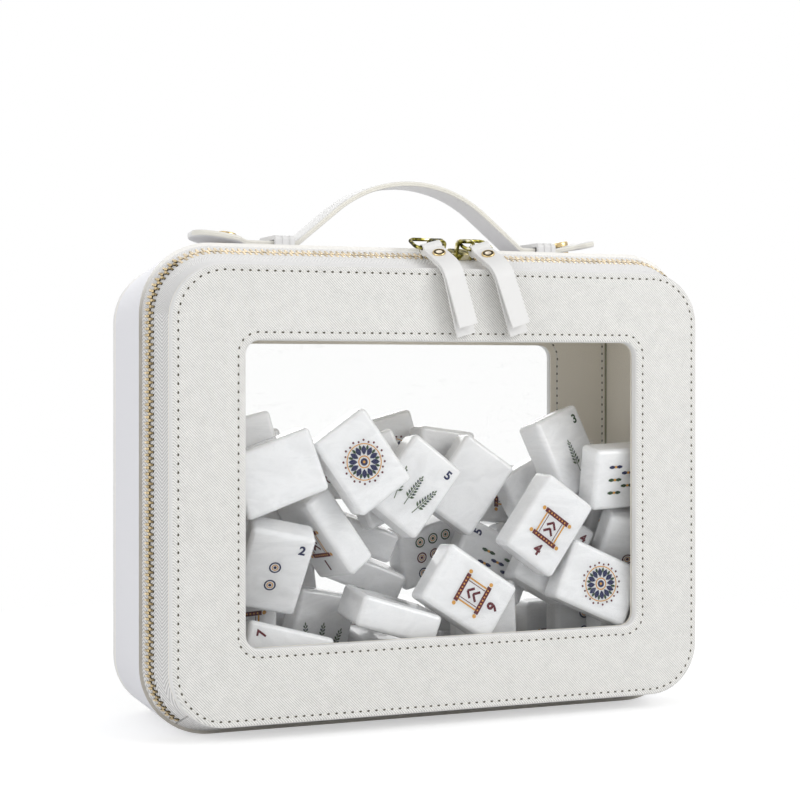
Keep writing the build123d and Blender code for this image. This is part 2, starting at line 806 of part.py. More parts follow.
tile = chamfer(Box(tile_width, tile_thick, tile_height).edges(), tile_chamfer)
heap = {}
for place, attitude, suit in zip(*make_heap()):
    seat = Plane(
        origin=tuple(place), x_dir=tuple(attitude[:, 0]), z_dir=tuple(attitude[:, 2])
    )
    heap.setdefault(suit, []).append(seat.location * tile)
for suit, solids in heap.items():
    parts[f"tiles_{suit}"] = Compound(solids)

# ------------------------------------------------------------ one file per piece
os.makedirs("parts", exist_ok=True)
for name, shape in parts.items():
    export_step(shape, f"parts/{name}.step")
    print(name, len(shape.solids()), round(sum(s.volume for s in shape.solids())))
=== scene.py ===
from math import cos, pi, radians, sin, sqrt, tan

import bmesh
import bpy
from bpy.props import FloatProperty, FloatVectorProperty, PointerProperty
from mathutils import Matrix, Vector
from mathutils.bvhtree import BVHTree


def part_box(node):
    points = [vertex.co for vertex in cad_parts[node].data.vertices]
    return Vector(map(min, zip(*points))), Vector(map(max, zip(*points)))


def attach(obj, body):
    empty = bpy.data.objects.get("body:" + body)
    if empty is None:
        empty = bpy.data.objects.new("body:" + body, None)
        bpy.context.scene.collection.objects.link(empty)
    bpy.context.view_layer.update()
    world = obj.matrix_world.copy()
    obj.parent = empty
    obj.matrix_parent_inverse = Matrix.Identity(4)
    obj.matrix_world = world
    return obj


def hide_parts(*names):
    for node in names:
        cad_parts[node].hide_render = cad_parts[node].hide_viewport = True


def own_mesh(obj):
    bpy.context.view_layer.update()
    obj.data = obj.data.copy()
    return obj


bl_info = {
    "name": "Zip-round game case",
    "version": (1, 0, 0),
    "blender": (4, 5, 0),
    "location": "View3D > Sidebar > Game case",
    "description": "Dresses a clear-windowed zip case and the game tiles inside it",
    "category": "Object",
}

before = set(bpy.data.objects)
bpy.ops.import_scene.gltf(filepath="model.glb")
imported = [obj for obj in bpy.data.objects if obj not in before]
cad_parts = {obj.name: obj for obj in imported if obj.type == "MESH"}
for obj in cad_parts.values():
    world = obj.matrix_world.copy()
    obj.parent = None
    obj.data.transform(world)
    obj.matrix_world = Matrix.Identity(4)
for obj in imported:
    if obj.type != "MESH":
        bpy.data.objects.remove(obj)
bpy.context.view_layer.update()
MM = 0.001


# Sizes that the case's outlines have, and places read from the frame's boxes.
PANEL_CORNER = {"front": 23 * MM, "back": 26 * MM}
WINDOW_CORNER = 6 * MM
WINDOW_TUCK = 7.9 * MM      # how far the clear sheet runs in behind the leather
LAYERS = 5.2 * MM           # a panel's leather, board and lining
STRAP_THICK = 2.2 * MM
STRAP_WIDTH = 18 * MM
STRAP_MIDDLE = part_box("handle_strap")[0].z + STRAP_THICK / 2
HANDLE_DRIFT = -5.5 * MM    # the strap has slid this far left in its keepers


def window_edges():
    """Half the window's width, and the heights of its lower and upper folds."""
    low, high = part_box("front_window")
    return high.x - WINDOW_TUCK, low.z + WINDOW_TUCK, high.z - WINDOW_TUCK


# ------------------------------------------------------------------ settings
class CaseSizes(bpy.types.PropertyGroup):
    """Sizes of the sewing and of the soft pieces"""

    stitch_pitch: FloatProperty(
        name="Stitch pitch", description="From one needle hole to the next",
        default=3.6 * MM, unit="LENGTH")
    stitch_length: FloatProperty(
        name="Stitch length", description="Length of thread that shows",
        default=2.5 * MM, unit="LENGTH")
    thread: FloatProperty(
        name="Thread", description="Diameter of the sewing thread",
        default=0.62 * MM, unit="LENGTH")
    needle_hole: FloatProperty(
        name="Needle hole", description="Length of the hole at a stitch's end",
        default=1.35 * MM, unit="LENGTH")
    outer_seam: FloatProperty(
        name="Outer seam", description="Panel's edge to its outer row of stitches",
        default=2.7 * MM, unit="LENGTH")
    window_seam: FloatProperty(
        name="Window seam", description="Window's fold to the row of stitches round it",
        default=3.4 * MM, unit="LENGTH")
    leather_rib: FloatProperty(
        name="Leather rib", description="From one slanting rib of the grain to the next",
        default=0.85 * MM, unit="LENGTH")
    tile_round: FloatProperty(
        name="Tile edge", description="Radius of a tile's rounded edges",
        default=2.2 * MM, unit="LENGTH")
    strap_edge: FloatProperty(
        name="Strap edge", description="Radius of the edges of the handle's leather",
        default=0.55 * MM, unit="LENGTH")
    paddle_edge: FloatProperty(
        name="Paddle edge", description="Thickness of a handle end at its rim",
        default=2.8 * MM, unit="LENGTH")
    paddle_crown: FloatProperty(
        name="Paddle padding", description="How far a handle end swells on each side",
        default=0.45 * MM, unit="LENGTH")
    cut_edge: FloatProperty(
        name="Cut edge", description="Radius of the worn edges of small leather parts",
        default=0.3 * MM, unit="LENGTH")
    print_height: FloatProperty(
        name="Print height", description="How far a tile's print stands off its face",
        default=0.04 * MM, unit="LENGTH")


class CaseColours(bpy.types.PropertyGroup):
    """Colours of the case's materials"""

    leather: FloatVectorProperty(
        name="Grained leather", description="Front, back, pulls and handle",
        default=(0.90, 0.885, 0.85), subtype="COLOR", min=0, max=1)
    smooth: FloatVectorProperty(
        name="Smooth leather", description="Gusset round the sides",
        default=(0.74, 0.735, 0.765), subtype="COLOR", min=0, max=1)
    strap: FloatVectorProperty(
        name="Handle leather", description="Strap of the handle",
        default=(0.78, 0.77, 0.755), subtype="COLOR", min=0, max=1)
    lining: FloatVectorProperty(
        name="Lining", description="Cloth inside the case",
        default=(0.95, 0.895, 0.79), subtype="COLOR", min=0, max=1)
    tape: FloatVectorProperty(
        name="Zip tape", description="Woven tape of the zip",
        default=(0.90, 0.885, 0.87), subtype="COLOR", min=0, max=1)
    thread: FloatVectorProperty(
        name="Thread", description="Sewing thread",
        default=(0.84, 0.825, 0.78), subtype="COLOR", min=0, max=1)
    edge: FloatVectorProperty(
        name="Edge paint", description="Painted edges of the straps",
        default=(0.80, 0.775, 0.70), subtype="COLOR", min=0, max=1)
    gold: FloatVectorProperty(
        name="Gold", description="Studs, sliders, links and zip teeth",
        default=(0.68, 0.52, 0.27), subtype="COLOR", min=0, max=1)
    # Painted shade: the darker tone of the gusset's front edge beside the zip.
    piping: FloatVectorProperty(
        name="Piping", description="Turned edge of the gusset beside the zip",
        default=(0.52, 0.49, 0.44), subtype="COLOR", min=0, max=1)
    tile: FloatVectorProperty(
        name="Tile", description="Pearly tile body",
        default=(0.82, 0.82, 0.825), subtype="COLOR", min=0, max=1)
    navy: FloatVectorProperty(
        name="Navy ink", description="Print on the tiles",
        default=(0.012, 0.016, 0.070), subtype="COLOR", min=0, max=1)
    green: FloatVectorProperty(
        name="Green ink", description="Print on the tiles",
        default=(0.022, 0.055, 0.018), subtype="COLOR", min=0, max=1)
    red: FloatVectorProperty(
        name="Red ink", description="Print on the tiles",
        default=(0.100, 0.008, 0.015), subtype="COLOR", min=0, max=1)
    sage: FloatVectorProperty(
        name="Sage ink", description="Print on the tiles",
        default=(0.130, 0.165, 0.110), subtype="COLOR", min=0, max=1)
    ochre: FloatVectorProperty(
        name="Gold ink", description="Print on the tiles",
        default=(0.62, 0.31, 0.06), subtype="COLOR", min=0, max=1)


class StageSettings(bpy.types.PropertyGroup):
    """Light and camera"""

    sky: FloatProperty(
        name="Sky", description="Strength of the even light from all round",
        default=0.62, min=0)
    key: FloatProperty(
        name="Key lamp", description="Power of the large lamp at the upper right front",
        default=12.5, min=0, unit="POWER")
    fill: FloatProperty(
        name="Fill lamp", description="Power of the lamp at the left",
        default=10.5, min=0, unit="POWER")
    back: FloatProperty(
        name="Back lamp", description="Power of the lamp behind, through the back window",
        default=9.0, min=0, unit="POWER")
    lens: FloatProperty(
        name="Lens", description="Focal length of the camera in millimetres",
        default=80.95, min=1)


def sizes():
    return bpy.context.scene.case_sizes


def colours():
    return bpy.context.scene.case_colours


# ------------------------------------------------------------------ materials
class Socket:
    """A shader socket, so that sums on surfaces are written as expressions."""

    def __init__(self, paint, socket):
        self.paint = paint
        self.socket = socket

    def maths(self, operation, *values):
        return self.paint.add("ShaderNodeMath", {"operation": operation}, *values)[0]

    def __add__(self, other):
        return self.maths("ADD", self, other)

    __radd__ = __add__

    def __sub__(self, other):
        return self.maths("SUBTRACT", self, other)

    def __rsub__(self, other):
        return self.maths("SUBTRACT", other, self)

    def __mul__(self, other):
        return self.maths("MULTIPLY", self, other)

    __rmul__ = __mul__

    def __truediv__(self, other):
        return self.maths("DIVIDE", self, other)

    def __rtruediv__(self, other):
        return self.maths("DIVIDE", other, self)

    def sine(self):
        return self.maths("SINE", self)

    def fraction(self):
        return self.maths("FRACT", self)

    def size(self):
        return self.maths("ABSOLUTE", self)

    def root(self):
        return self.maths("SQRT", self)

    def least(self, other):
        return self.maths("MINIMUM", self, other)

    def most(self, other):
        return self.maths("MAXIMUM", self, other)


class Added:
    """A node in a material: its outputs, by name or number."""

    def __init__(self, paint, node):
        self.paint = paint
        self.node = node

    def __getitem__(self, key):
        return Socket(self.paint, self.node.outputs[key])


class Finish:
    """A procedural material of one finish."""

    def __init__(self, name):
        self.material = bpy.data.materials.new(name)
        self.material.use_nodes = True
        self.tree = self.material.node_tree
        self.tree.nodes.clear()

    def add(self, kind, settings=None, *values, **named):
        """Adds a node: its settings first, then values or links for its inputs,
        in order or by name with _ for a space."""
        node = self.tree.nodes.new(kind)
        for key, value in (settings or {}).items():
            if key == "stops":
                self.set_stops(node, value)
            else:
                setattr(node, key, value)
        for key, value in list(enumerate(values)) + list(named.items()):
            if isinstance(key, str):
                key = key.replace("_", " ")
            if isinstance(value, Socket):
                self.tree.links.new(value.socket, node.inputs[key])
            else:
                node.inputs[key].default_value = value
        return Added(self, node)

    def set_stops(self, node, stops):
        ramp = node.color_ramp
        while len(ramp.elements) < len(stops):
            ramp.elements.new(0.5)
        for element, (place, colour) in zip(ramp.elements, stops):
            element.position = place
            element.color = (*colour, 1)

    def place(self):
        """Where a point is on the piece, as three sockets in millimetres."""
        coords = self.add("ShaderNodeTexCoord")["Object"]
        parts = self.add("ShaderNodeSeparateXYZ", {}, coords)
        return coords, parts["X"] * 1000.0, parts["Y"] * 1000.0, parts["Z"] * 1000.0

    def noise(self, coords, scale, detail=3.0, rough=0.5, warp=0.0):
        return self.add(
            "ShaderNodeTexNoise", {}, Vector=coords, Scale=scale, Detail=detail,
            Roughness=rough, Distortion=warp)["Fac"]

    def ramp(self, value, stops):
        return self.add("ShaderNodeValToRGB", {"stops": stops}, value)["Color"]

    def blend(self, share, one, two):
        """A colour between two, given as colours or sockets."""
        mix = self.add("ShaderNodeMix", {"data_type": "RGBA"})
        for key, value in ((0, share), (6, one), (7, two)):
            if isinstance(value, Socket):
                self.tree.links.new(value.socket, mix.node.inputs[key])
            elif key == 0:
                mix.node.inputs[key].default_value = value
            else:
                mix.node.inputs[key].default_value = (*value, 1)
        return Socket(self, mix.node.outputs[2])

    def bump(self, height, strength, depth):
        return self.add(
            "ShaderNodeBump", {}, Strength=strength, Distance=depth, Height=height
        )["Normal"]

    def surface(self, colour, rough, normal=None, **constants):
        """The Principled shader with this colour, roughness and bump."""
        named = {"Base_Color": colour, "Roughness": rough}
        if not isinstance(colour, Socket):
            named["Base_Color"] = (*colour, 1)
        if normal is not None:
            named["Normal"] = normal
        named.update(constants)
        return self.add("ShaderNodeBsdfPrincipled", {}, **named)["BSDF"]

    def out(self, shader):
        self.add("ShaderNodeOutputMaterial", {}, shader)
        return self.material


def darker(colour, share):
    return tuple(channel * share for channel in colour)


def seam_groove(x, z, half_width, low, high, radius):
    """1 on a rounded rectangular seam, falling to 0 a little to each side."""
    across = x.size() - (half_width - radius)
    up = (z - (low + high) / 2).size() - ((high - low) / 2 - radius)
    out_across, out_up = across.most(0.0), up.most(0.0)
    outside = (out_across * out_across + out_up * out_up).root()
    distance = (outside + across.most(up).least(0.0) - radius).size()
    return (1.0 - distance / 1.7).most(0.0)


def grained_leather(panel=None):
    """Coated leather with a fine slanting rib crossed by a fainter one. On a panel,
    it also dips along its two seams."""
    paint = Finish(f"grained_leather_{panel or 'parts'}")
    coords, x, y, z = paint.place()
    pitch = sizes().leather_rib / MM * sqrt(2)
    wander = paint.noise(coords, 45.0, 2.0) * 0.9
    rib = ((x + y + z + wander) * (2 * pi / pitch)).sine() * 0.5 + 0.5
    cross = ((x - z + y * 0.6 + wander) * (2 * pi / (pitch * 0.8))).sine() * 0.5 + 0.5
    broken = paint.noise(coords, 1100.0, 2.0)
    patch = paint.noise(coords, 160.0, 2.0)
    grain = rib * 0.6 + cross * patch * 0.5 + broken * 0.3
    cloud = paint.noise(coords, 22.0, 3.0)
    base = tuple(colours().leather)
    tone = paint.blend(grain, darker(base, 0.36), darker(base, 1.06))
    tone = paint.blend(cloud * 0.35, tone, darker(base, 0.90))
    height = grain * 0.16
    if panel:
        outer, inner = sizes().outer_seam, sizes().window_seam
        low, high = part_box(panel + "_panel")
        half, window_low, window_high = window_edges()
        for seam in (
                (high.x - outer, low.z + outer, high.z - outer, PANEL_CORNER[panel] - outer),
                (half + inner, window_low - inner, window_high + inner, WINDOW_CORNER + inner)):
            groove = seam_groove(x, z, *(size / MM for size in seam))
            height = height - groove * groove * 0.30
    rough = 0.46 + broken * 0.16 - rib * 0.06
    return paint.out(paint.surface(
        tone, rough, paint.bump(height, 0.6, 1.0 * MM), Specular_IOR_Level=0.40))


def smooth_leather(name="smooth_leather", white=False):
    """Coated leather with next to no grain, faintly uneven over its board."""
    paint = Finish(name)
    coords, x, y, z = paint.place()
    cloud = paint.noise(coords, 14.0, 3.0)
    pores = paint.noise(coords, 1500.0, 2.0)
    wave = paint.noise(coords, 30.0, 2.0)
    crease = paint.noise(coords, 260.0, 4.0, 0.6, 1.5)
    base = tuple(colours().strap if white else colours().smooth)
    tone = paint.blend(cloud * 0.5, base, darker(base, 0.95))
    height = wave * 0.8 + pores * 0.03 + crease * 0.03
    return paint.out(paint.surface(
        tone, 0.40 + pores * 0.14, paint.bump(height, 0.22, 0.6 * MM),
        Specular_IOR_Level=0.42))


def edge_paint():
    """Rubbery paint on the cut edges of straps."""
    paint = Finish("edge_paint")
    coords, x, y, z = paint.place()
    lumps = paint.noise(coords, 500.0, 3.0)
    base = tuple(colours().edge)
    tone = paint.blend(lumps * 0.6, base, darker(base, 0.9))
    return paint.out(paint.surface(tone, 0.42 + lumps * 0.1, paint.bump(lumps, 0.2, 0.2 * MM)))


def lining_cloth():
    """Plain woven lining."""
    paint = Finish("lining_cloth")
    coords, x, y, z = paint.place()
    warp = ((x + y) * (2 * pi / 0.55)).sine()
    weft = ((z + y * 0.3) * (2 * pi / 0.55)).sine()
    weave = warp * weft * 0.5 + 0.5
    base = tuple(colours().lining)
    cloud = paint.noise(coords, 30.0, 3.0)
    tone = paint.blend(weave * 0.35 + cloud * 0.3, darker(base, 0.90), darker(base, 1.05))
    return paint.out(paint.surface(
        tone, 0.86, paint.bump(weave, 0.25, 0.1 * MM), Sheen_Weight=0.15))


def herringbone_tape():
    """Zip tape: slanting ribs whose lean turns over in the middle of a band. Along the top its dark
    ribs are painted lighter, as painted light from above.
    """
    paint = Finish("herringbone_tape")
    coords, x, y, z = paint.place()
    band = 8.8
    middle = (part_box("zip_tape_front")[0].y / MM) + band / 2
    lean = (((y - middle) / band).fraction() - 0.5).size() * (band * 0.8)
    top = ((z - 176.0) / 22.0).most(0.0).least(1.0)
    slope = y * 0.37 * (1.0 - top * 2.0)
    rib = ((z - x.size() + slope + lean) * (2 * pi / 1.5)).sine() * 0.5 + 0.5
    base = tuple(colours().tape)
    fuzz = paint.noise(coords, 1800.0, 2.0)
    # Painted light: the ribs' dark tone is lighter towards the top, where light from above falls.
    rib_dark_painted_lit_top = paint.blend(top, darker(base, 0.50), darker(base, 0.88))
    tone = paint.blend(rib * 0.8 + fuzz * 0.2, rib_dark_painted_lit_top, base)
    return paint.out(paint.surface(
        tone, 0.78, paint.bump(rib + fuzz * 0.3, 0.7, 0.25 * MM), Sheen_Weight=0.2))


def gold_plate(name, rough, shade=1.0, pale=0.0, aged=False):
    """Gold-coloured plating with soft darker and lighter patches, partly uneven plating and partly
    painted reflections, and with handling marks. The aged plating is olive with tarnish, and its
    near-black and pale patches are painted dark reflections and painted glints.
    """
    paint = Finish(name)
    coords, x, y, z = paint.place()
    wear = paint.noise(coords, 420.0, 4.0, 0.6)
    cloud = paint.noise(coords, 320.0, 1.0)
    base = tuple(channel * shade * (1 - pale) + pale for channel in colours().gold)
    # Soft darker and lighter patches: uneven plating and painted reflections.
    stops = [(0.38, darker(base, 0.72)), (0.50, base), (0.64, darker(base, 1.15))]
    # Aged plating: olive tarnish, with near-black patches as painted dark reflections and pale
    # patches as painted glints.
    if aged:
        stops = [(0.38, (0.035, 0.032, 0.006)), (0.46, (0.22, 0.20, 0.035)),
                 (0.54, (0.42, 0.37, 0.10)), (0.62, (0.86, 0.80, 0.58))]
    tone = paint.ramp(cloud, stops)
    return paint.out(paint.surface(
        tone, rough + wear * 0.14, paint.bump(wear, 0.06, 0.1 * MM), Metallic=1.0))


def sewing_thread():
    """Twisted thread."""
    paint = Finish("sewing_thread")
    coords, x, y, z = paint.place()
    ply = ((x + z + y) * (2 * pi / 0.5)).sine() * 0.5 + 0.5
    base = tuple(colours().thread)
    tone = paint.blend(ply, darker(base, 0.82), base)
    return paint.out(paint.surface(tone, 0.7, paint.bump(ply, 0.3, 0.08 * MM)))


def needle_hole():
    paint = Finish("needle_hole")
    coords, x, y, z = paint.place()
    # Painted shade: the hole is a flat dark disc on the leather, standing in for its shaded depth.
    tone = paint.blend(paint.noise(coords, 900.0), (0.035, 0.030, 0.018), (0.13, 0.115, 0.08))
    return paint.out(paint.surface(tone, 0.8))


def clear_sheet():
    """Clear flexible sheet: see-through, with soft streaks in its gloss."""
    paint = Finish("clear_sheet")
    coords, x, y, z = paint.place()
    stretched = paint.add(
        "ShaderNodeMapping", {}, Vector=coords, Rotation=(0, radians(58), 0),
        Scale=(3.0, 3.0, 26.0))["Vector"]
    streak = paint.noise(stretched, 6.0, 5.0, 0.7, 1.2)
    scuff = paint.noise(coords, 55.0, 6.0, 0.75, 3.0)
    wave = paint.noise(coords, 7.0, 2.0)
    normal = paint.bump(wave, 0.35, 3.0 * MM)
    gloss = paint.surface(
        (0.95, 0.96, 0.97), 0.07 + streak * 0.10, normal, Specular_IOR_Level=0.5)
    clear = paint.add("ShaderNodeBsdfTransparent", {}, (0.998, 0.999, 0.998, 1))["BSDF"]
    facing = paint.add("ShaderNodeLayerWeight", {}, 0.5, normal)["Facing"]
    edge = facing * facing * facing * facing * facing
    haze = (streak * scuff - 0.32).most(0.0) * 0.45
    share = (edge * 0.5 + haze + 0.011).least(0.4)
    return paint.out(paint.add("ShaderNodeMixShader", {}, share, clear, gloss)["Shader"])


def pearl_tile():
    """Pearly acrylic: milky, glossy, with drifting brighter veils inside."""
    paint = Finish("pearl_tile")
    coords, x, y, z = paint.place()
    offset = paint.add("ShaderNodeAttribute", {"attribute_name": "veil"})["Vector"]
    moved = paint.add("ShaderNodeVectorMath", {"operation": "ADD"}, coords, offset)["Vector"]
    turned = paint.add(
        "ShaderNodeMapping", {}, Vector=moved, Rotation=(0.4, 0.9, 0.2),
        Scale=(1.0, 0.7, 2.0))["Vector"]
    veil = paint.noise(turned, 26.0, 4.0, 0.5, 3.0)
    wisp = paint.noise(turned, 90.0, 3.0, 0.6, 4.0)
    base = tuple(colours().tile)
    tone = paint.ramp(veil * 0.8 + wisp * 0.2, [
        (0.30, darker(base, 0.93)), (0.46, darker(base, 0.99)),
        (0.54, darker(base, 1.04)), (0.72, darker(base, 0.96))])
    fine = paint.noise(coords, 700.0, 2.0)
    return paint.out(paint.surface(
        tone, 0.12 + fine * 0.08, paint.bump(fine, 0.03, 0.1 * MM),
        Specular_IOR_Level=0.5, Subsurface_Weight=0.8,
        Subsurface_Radius=(1.0, 0.98, 0.95), Subsurface_Scale=9.0 * MM,
        Coat_Weight=0.25, Coat_Roughness=0.06))


def tile_ink(name, colour):
    """Printed ink, slightly worn."""
    paint = Finish(name)
    coords, x, y, z = paint.place()
    worn = paint.noise(coords, 1300.0, 3.0)
    faded = tuple(channel + (0.3 - channel) * 0.15 for channel in colour)
    tone = paint.blend(worn * 0.4, colour, faded)
    return paint.out(paint.surface(tone, 0.45 + worn * 0.1, Specular_IOR_Level=0.2))


def piped_edge():
    """Front edge of the gusset beside the zip, darker as painted shade of the gap by the tape, and
    lighter towards the top as painted light from above.
    """
    paint = Finish("piped_edge")
    coords, x, y, z = paint.place()
    base = tuple(colours().piping)
    tone = paint.blend(paint.noise(coords, 90.0), darker(base, 0.85), darker(base, 1.15))
    # Painted light: the edge lightens to the leather's colour towards the top.
    top = ((z - 172.0) / 25.0).most(0.0).least(1.0)
    tone = paint.blend(top, tone, tuple(colours().leather))
    return paint.out(paint.surface(tone, 0.6))


def lining_edge():
    """Dark olive on the lining's front edge along the zip and in the back seam: painted shade."""
    paint = Finish("lining_edge")
    coords, x, y, z = paint.place()
    tone = paint.blend(paint.noise(coords, 140.0), (0.22, 0.22, 0.13), (0.34, 0.34, 0.22))
    return paint.out(paint.surface(tone, 0.7))


FINISHES = {}
MAKERS = {
    "grained_leather": grained_leather, "front_leather": lambda: grained_leather("front"),
    "back_leather": lambda: grained_leather("back"), "smooth_leather": smooth_leather,
    "smooth_white": lambda: smooth_leather("smooth_white", True),
    "edge_paint": edge_paint, "lining_cloth": lining_cloth,
    "herringbone_tape": herringbone_tape,
    "polished_gold": lambda: gold_plate("polished_gold", 0.16),
    # Painted light and shade: the whitish gold is a painted highlight, the near-dark golds are
    # painted shade and the paler zip gold is painted light.
    "pale_gold": lambda: gold_plate("pale_gold", 0.12, 1.1, 0.5),
    "deep_gold": lambda: gold_plate("deep_gold", 0.30, 0.12),
    "zip_metal": lambda: gold_plate("zip_metal", 0.26, 0.85, 0.06),
    "zip_shade": lambda: gold_plate("zip_shade", 0.30, 0.40, 0.0),
    "zip_pale": lambda: gold_plate("zip_pale", 0.26, 1.1, 0.30),
    "aged_gold": lambda: gold_plate("aged_gold", 0.14, aged=True),
    "sewing_thread": sewing_thread, "needle_hole": needle_hole,
    "clear_sheet": clear_sheet, "pearl_tile": pearl_tile, "piped_edge": piped_edge,
    "lining_edge": lining_edge,
}
INKS = ("navy", "green", "red", "ochre", "sage")


def finish(name):
    """The material of a finish, made when it is first asked for."""
    if name not in FINISHES:
        if name in INKS:
            FINISHES[name] = tile_ink(name + "_ink", tuple(getattr(colours(), name)))
        else:
            FINISHES[name] = MAKERS[name]()
    return FINISHES[name]


# ------------------------------------------------------------------ helpers
def keep_mesh(name, mesh, finishes, body, smooth=True, angle=40):
    """Makes an object of a mesh that is already in its place."""
    obj = bpy.data.objects.new(name, mesh)
    bpy.context.scene.collection.objects.link(obj)
    for each in finishes:
        mesh.materials.append(finish(each))
    if smooth:
        mesh.shade_smooth()
        mesh.set_sharp_from_angle(angle=radians(angle))
    if body:
        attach(obj, body)
    return obj


def keep(name, shape, finishes, body, smooth=True, angle=40):
    """Makes an object of a finished bmesh."""
    mesh = bpy.data.meshes.new(name)
    shape.to_mesh(mesh)
    shape.free()
    return keep_mesh(name, mesh, finishes, body, smooth, angle)


def dress(finish_name, *nodes):
    """Gives CAD nodes a material."""
    for node in nodes:
        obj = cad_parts[node]
        obj.data.materials.clear()
        obj.data.materials.append(finish(finish_name))


def soften(shape, width, segments=2, edges=None):
    """Bevels edges, all of them unless some are given."""
    bmesh.ops.bevel(
        shape, geom=edges or shape.edges[:], offset=width, offset_type="OFFSET",
        affect="EDGES", segments=segments, profile=0.5, material=-1)


def softened(name, node, finishes, body, width, segments=2, choose=None):
    """A copy of a CAD node with its sharp edges rounded, shown in its place. The
    rule, if there is one, gives a face's finish by number."""
    shape = bmesh.new()
    shape.from_mesh(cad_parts[node].data)
    bmesh.ops.remove_doubles(shape, verts=shape.verts, dist=1e-6)
    bmesh.ops.dissolve_limit(
        shape, angle_limit=radians(1), verts=shape.verts, edges=shape.edges)
    for face in shape.faces:
        face.material_index = choose(face) if choose else 0
    sharp = [edge for edge in shape.edges
             if len(edge.link_faces) == 2 and edge.calc_face_angle() > radians(35)]
    bmesh.ops.bevel(
        shape, geom=sharp, offset=width, offset_type="OFFSET", affect="EDGES",
        segments=segments, profile=0.5, clamp_overlap=True, material=-1)
    obj = keep(name, shape, finishes, body)
    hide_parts(node)
    even_shading(obj)
    return obj


def even_shading(obj):
    """Keeps flat faces evenly lit right up to their rounded edges."""
    weighted = obj.modifiers.new("even_shading", "WEIGHTED_NORMAL")
    weighted.keep_sharp = True


def rounded_line(points, radii, step=radians(6)):
    """Points along a line of straight runs with rounded corners."""
    line = [Vector(points[0])]
    for before, corner, after, radius in zip(points, points[1:], points[2:], radii):
        corner = Vector(corner)
        a, b = (Vector(before) - corner).normalized(), (Vector(after) - corner).normalized()
        half = a.angle(b) / 2
        middle = corner + (a + b).normalized() * (radius / sin(half))
        start = corner + a * (radius / tan(half)) - middle
        end = corner + b * (radius / tan(half)) - middle
        turn = start.angle_signed(end)
        count = max(2, round(abs(turn) / step))
        for k in range(count + 1):
            line.append(middle + Matrix.Rotation(-turn * k / count, 2) @ start)
    line.append(Vector(points[-1]))
    return line


class Track:
    """A line that straps and stitches follow, by the distance along it."""

    def __init__(self, points):
        self.points = points
        self.marks = [0.0]
        for a, b in zip(self.points, self.points[1:]):
            self.marks.append(self.marks[-1] + (b - a).length)
        self.length = self.marks[-1]

    def at(self, distance):
        """The point and direction at a distance; past its ends it runs straight on."""
        k = 0
        while k < len(self.marks) - 2 and distance > self.marks[k + 1]:
            k += 1
        a, b = self.points[k], self.points[k + 1]
        along = (b - a).normalized()
        return a + along * (distance - self.marks[k]), along


def rounded_frame(half_width, low, high, radius):
    """A closed rounded outline in X and Z, from the middle of its top, clockwise."""
    corners = [(0, high), (half_width, high), (half_width, low), (-half_width, low),
               (-half_width, high), (0, high)]
    return Track(rounded_line(corners, [radius] * 4))


class Copies:
    """Many copies of small shapes, each in its own place, gathered into one mesh."""

    def __init__(self):
        self.points, self.faces, self.slots, self.veils = [], [], [], []

    def add(self, pattern, matrix, slot=0, veil=(0, 0, 0)):
        start = len(self.points)
        points, faces, own_slots = pattern
        self.points.extend(matrix @ point for point in points)
        self.faces.extend([start + index for index in face] for face in faces)
        self.slots.extend(slot + own for own in own_slots)
        self.veils.extend([Vector(veil)] * len(points))

    def mesh(self, name):
        mesh = bpy.data.meshes.new(name)
        mesh.from_pydata(self.points, [], self.faces)
        for polygon, slot in zip(mesh.polygons, self.slots):
            polygon.material_index = slot
        layer = mesh.attributes.new("veil", "FLOAT_VECTOR", "POINT")
        for item, veil in zip(layer.data, self.veils):
            item.vector = veil
        return mesh


def pattern_of(shape):
    """The corners, faces and finishes of a small shape, ready to be copied."""
    shape.verts.index_update()
    points = [vert.co.copy() for vert in shape.verts]
    faces = [[vert.index for vert in face.verts] for face in shape.faces]
    slots = [face.material_index for face in shape.faces]
    shape.free()
    return points, faces, slots


def solids(node):
    """Each separate solid of a CAD node: the middle of its corners, and the ways
    its faces look, from the broadest down. The first come lowest in X."""
    shape = bmesh.new()
    shape.from_mesh(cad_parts[node].data)
    bmesh.ops.remove_doubles(shape, verts=shape.verts, dist=1e-6)
    found, seen = [], set()
    for first in shape.faces:
        if first in seen:
            continue
        group, ahead = [], [first]
        seen.add(first)
        while ahead:
            face = ahead.pop()
            group.append(face)
            for other in (near for edge in face.edges for near in edge.link_faces):
                if other not in seen:
                    seen.add(other)
                    ahead.append(other)
        verts = dict.fromkeys(vert for face in group for vert in face.verts)
        middle = sum((vert.co for vert in verts), Vector()) / len(verts)
        found.append((middle, broad_ways(group)))
    shape.free()
    return sorted(found, key=lambda solid: tuple(round(place, 5) for place in solid[0]))


def broad_ways(faces):
    """The normals of a solid's faces, opposite ones as one, the broadest first."""
    areas = {}
    for face in faces:
        key = max(areas, key=lambda normal: abs(normal.dot(face.normal)), default=None)
        if key is None or abs(key.dot(face.normal)) < 0.999:
            key = face.normal.copy().freeze()
            areas[key] = 0.0
        areas[key] += face.calc_area()
    return sorted(areas, key=areas.get, reverse=True)


def seat_at(middle, x_way, y_way, z_way):
    """A matrix that sets a copy in its place."""
    seat = Matrix((x_way, y_way, z_way)).transposed().to_4x4()
    seat.translation = middle
    return seat


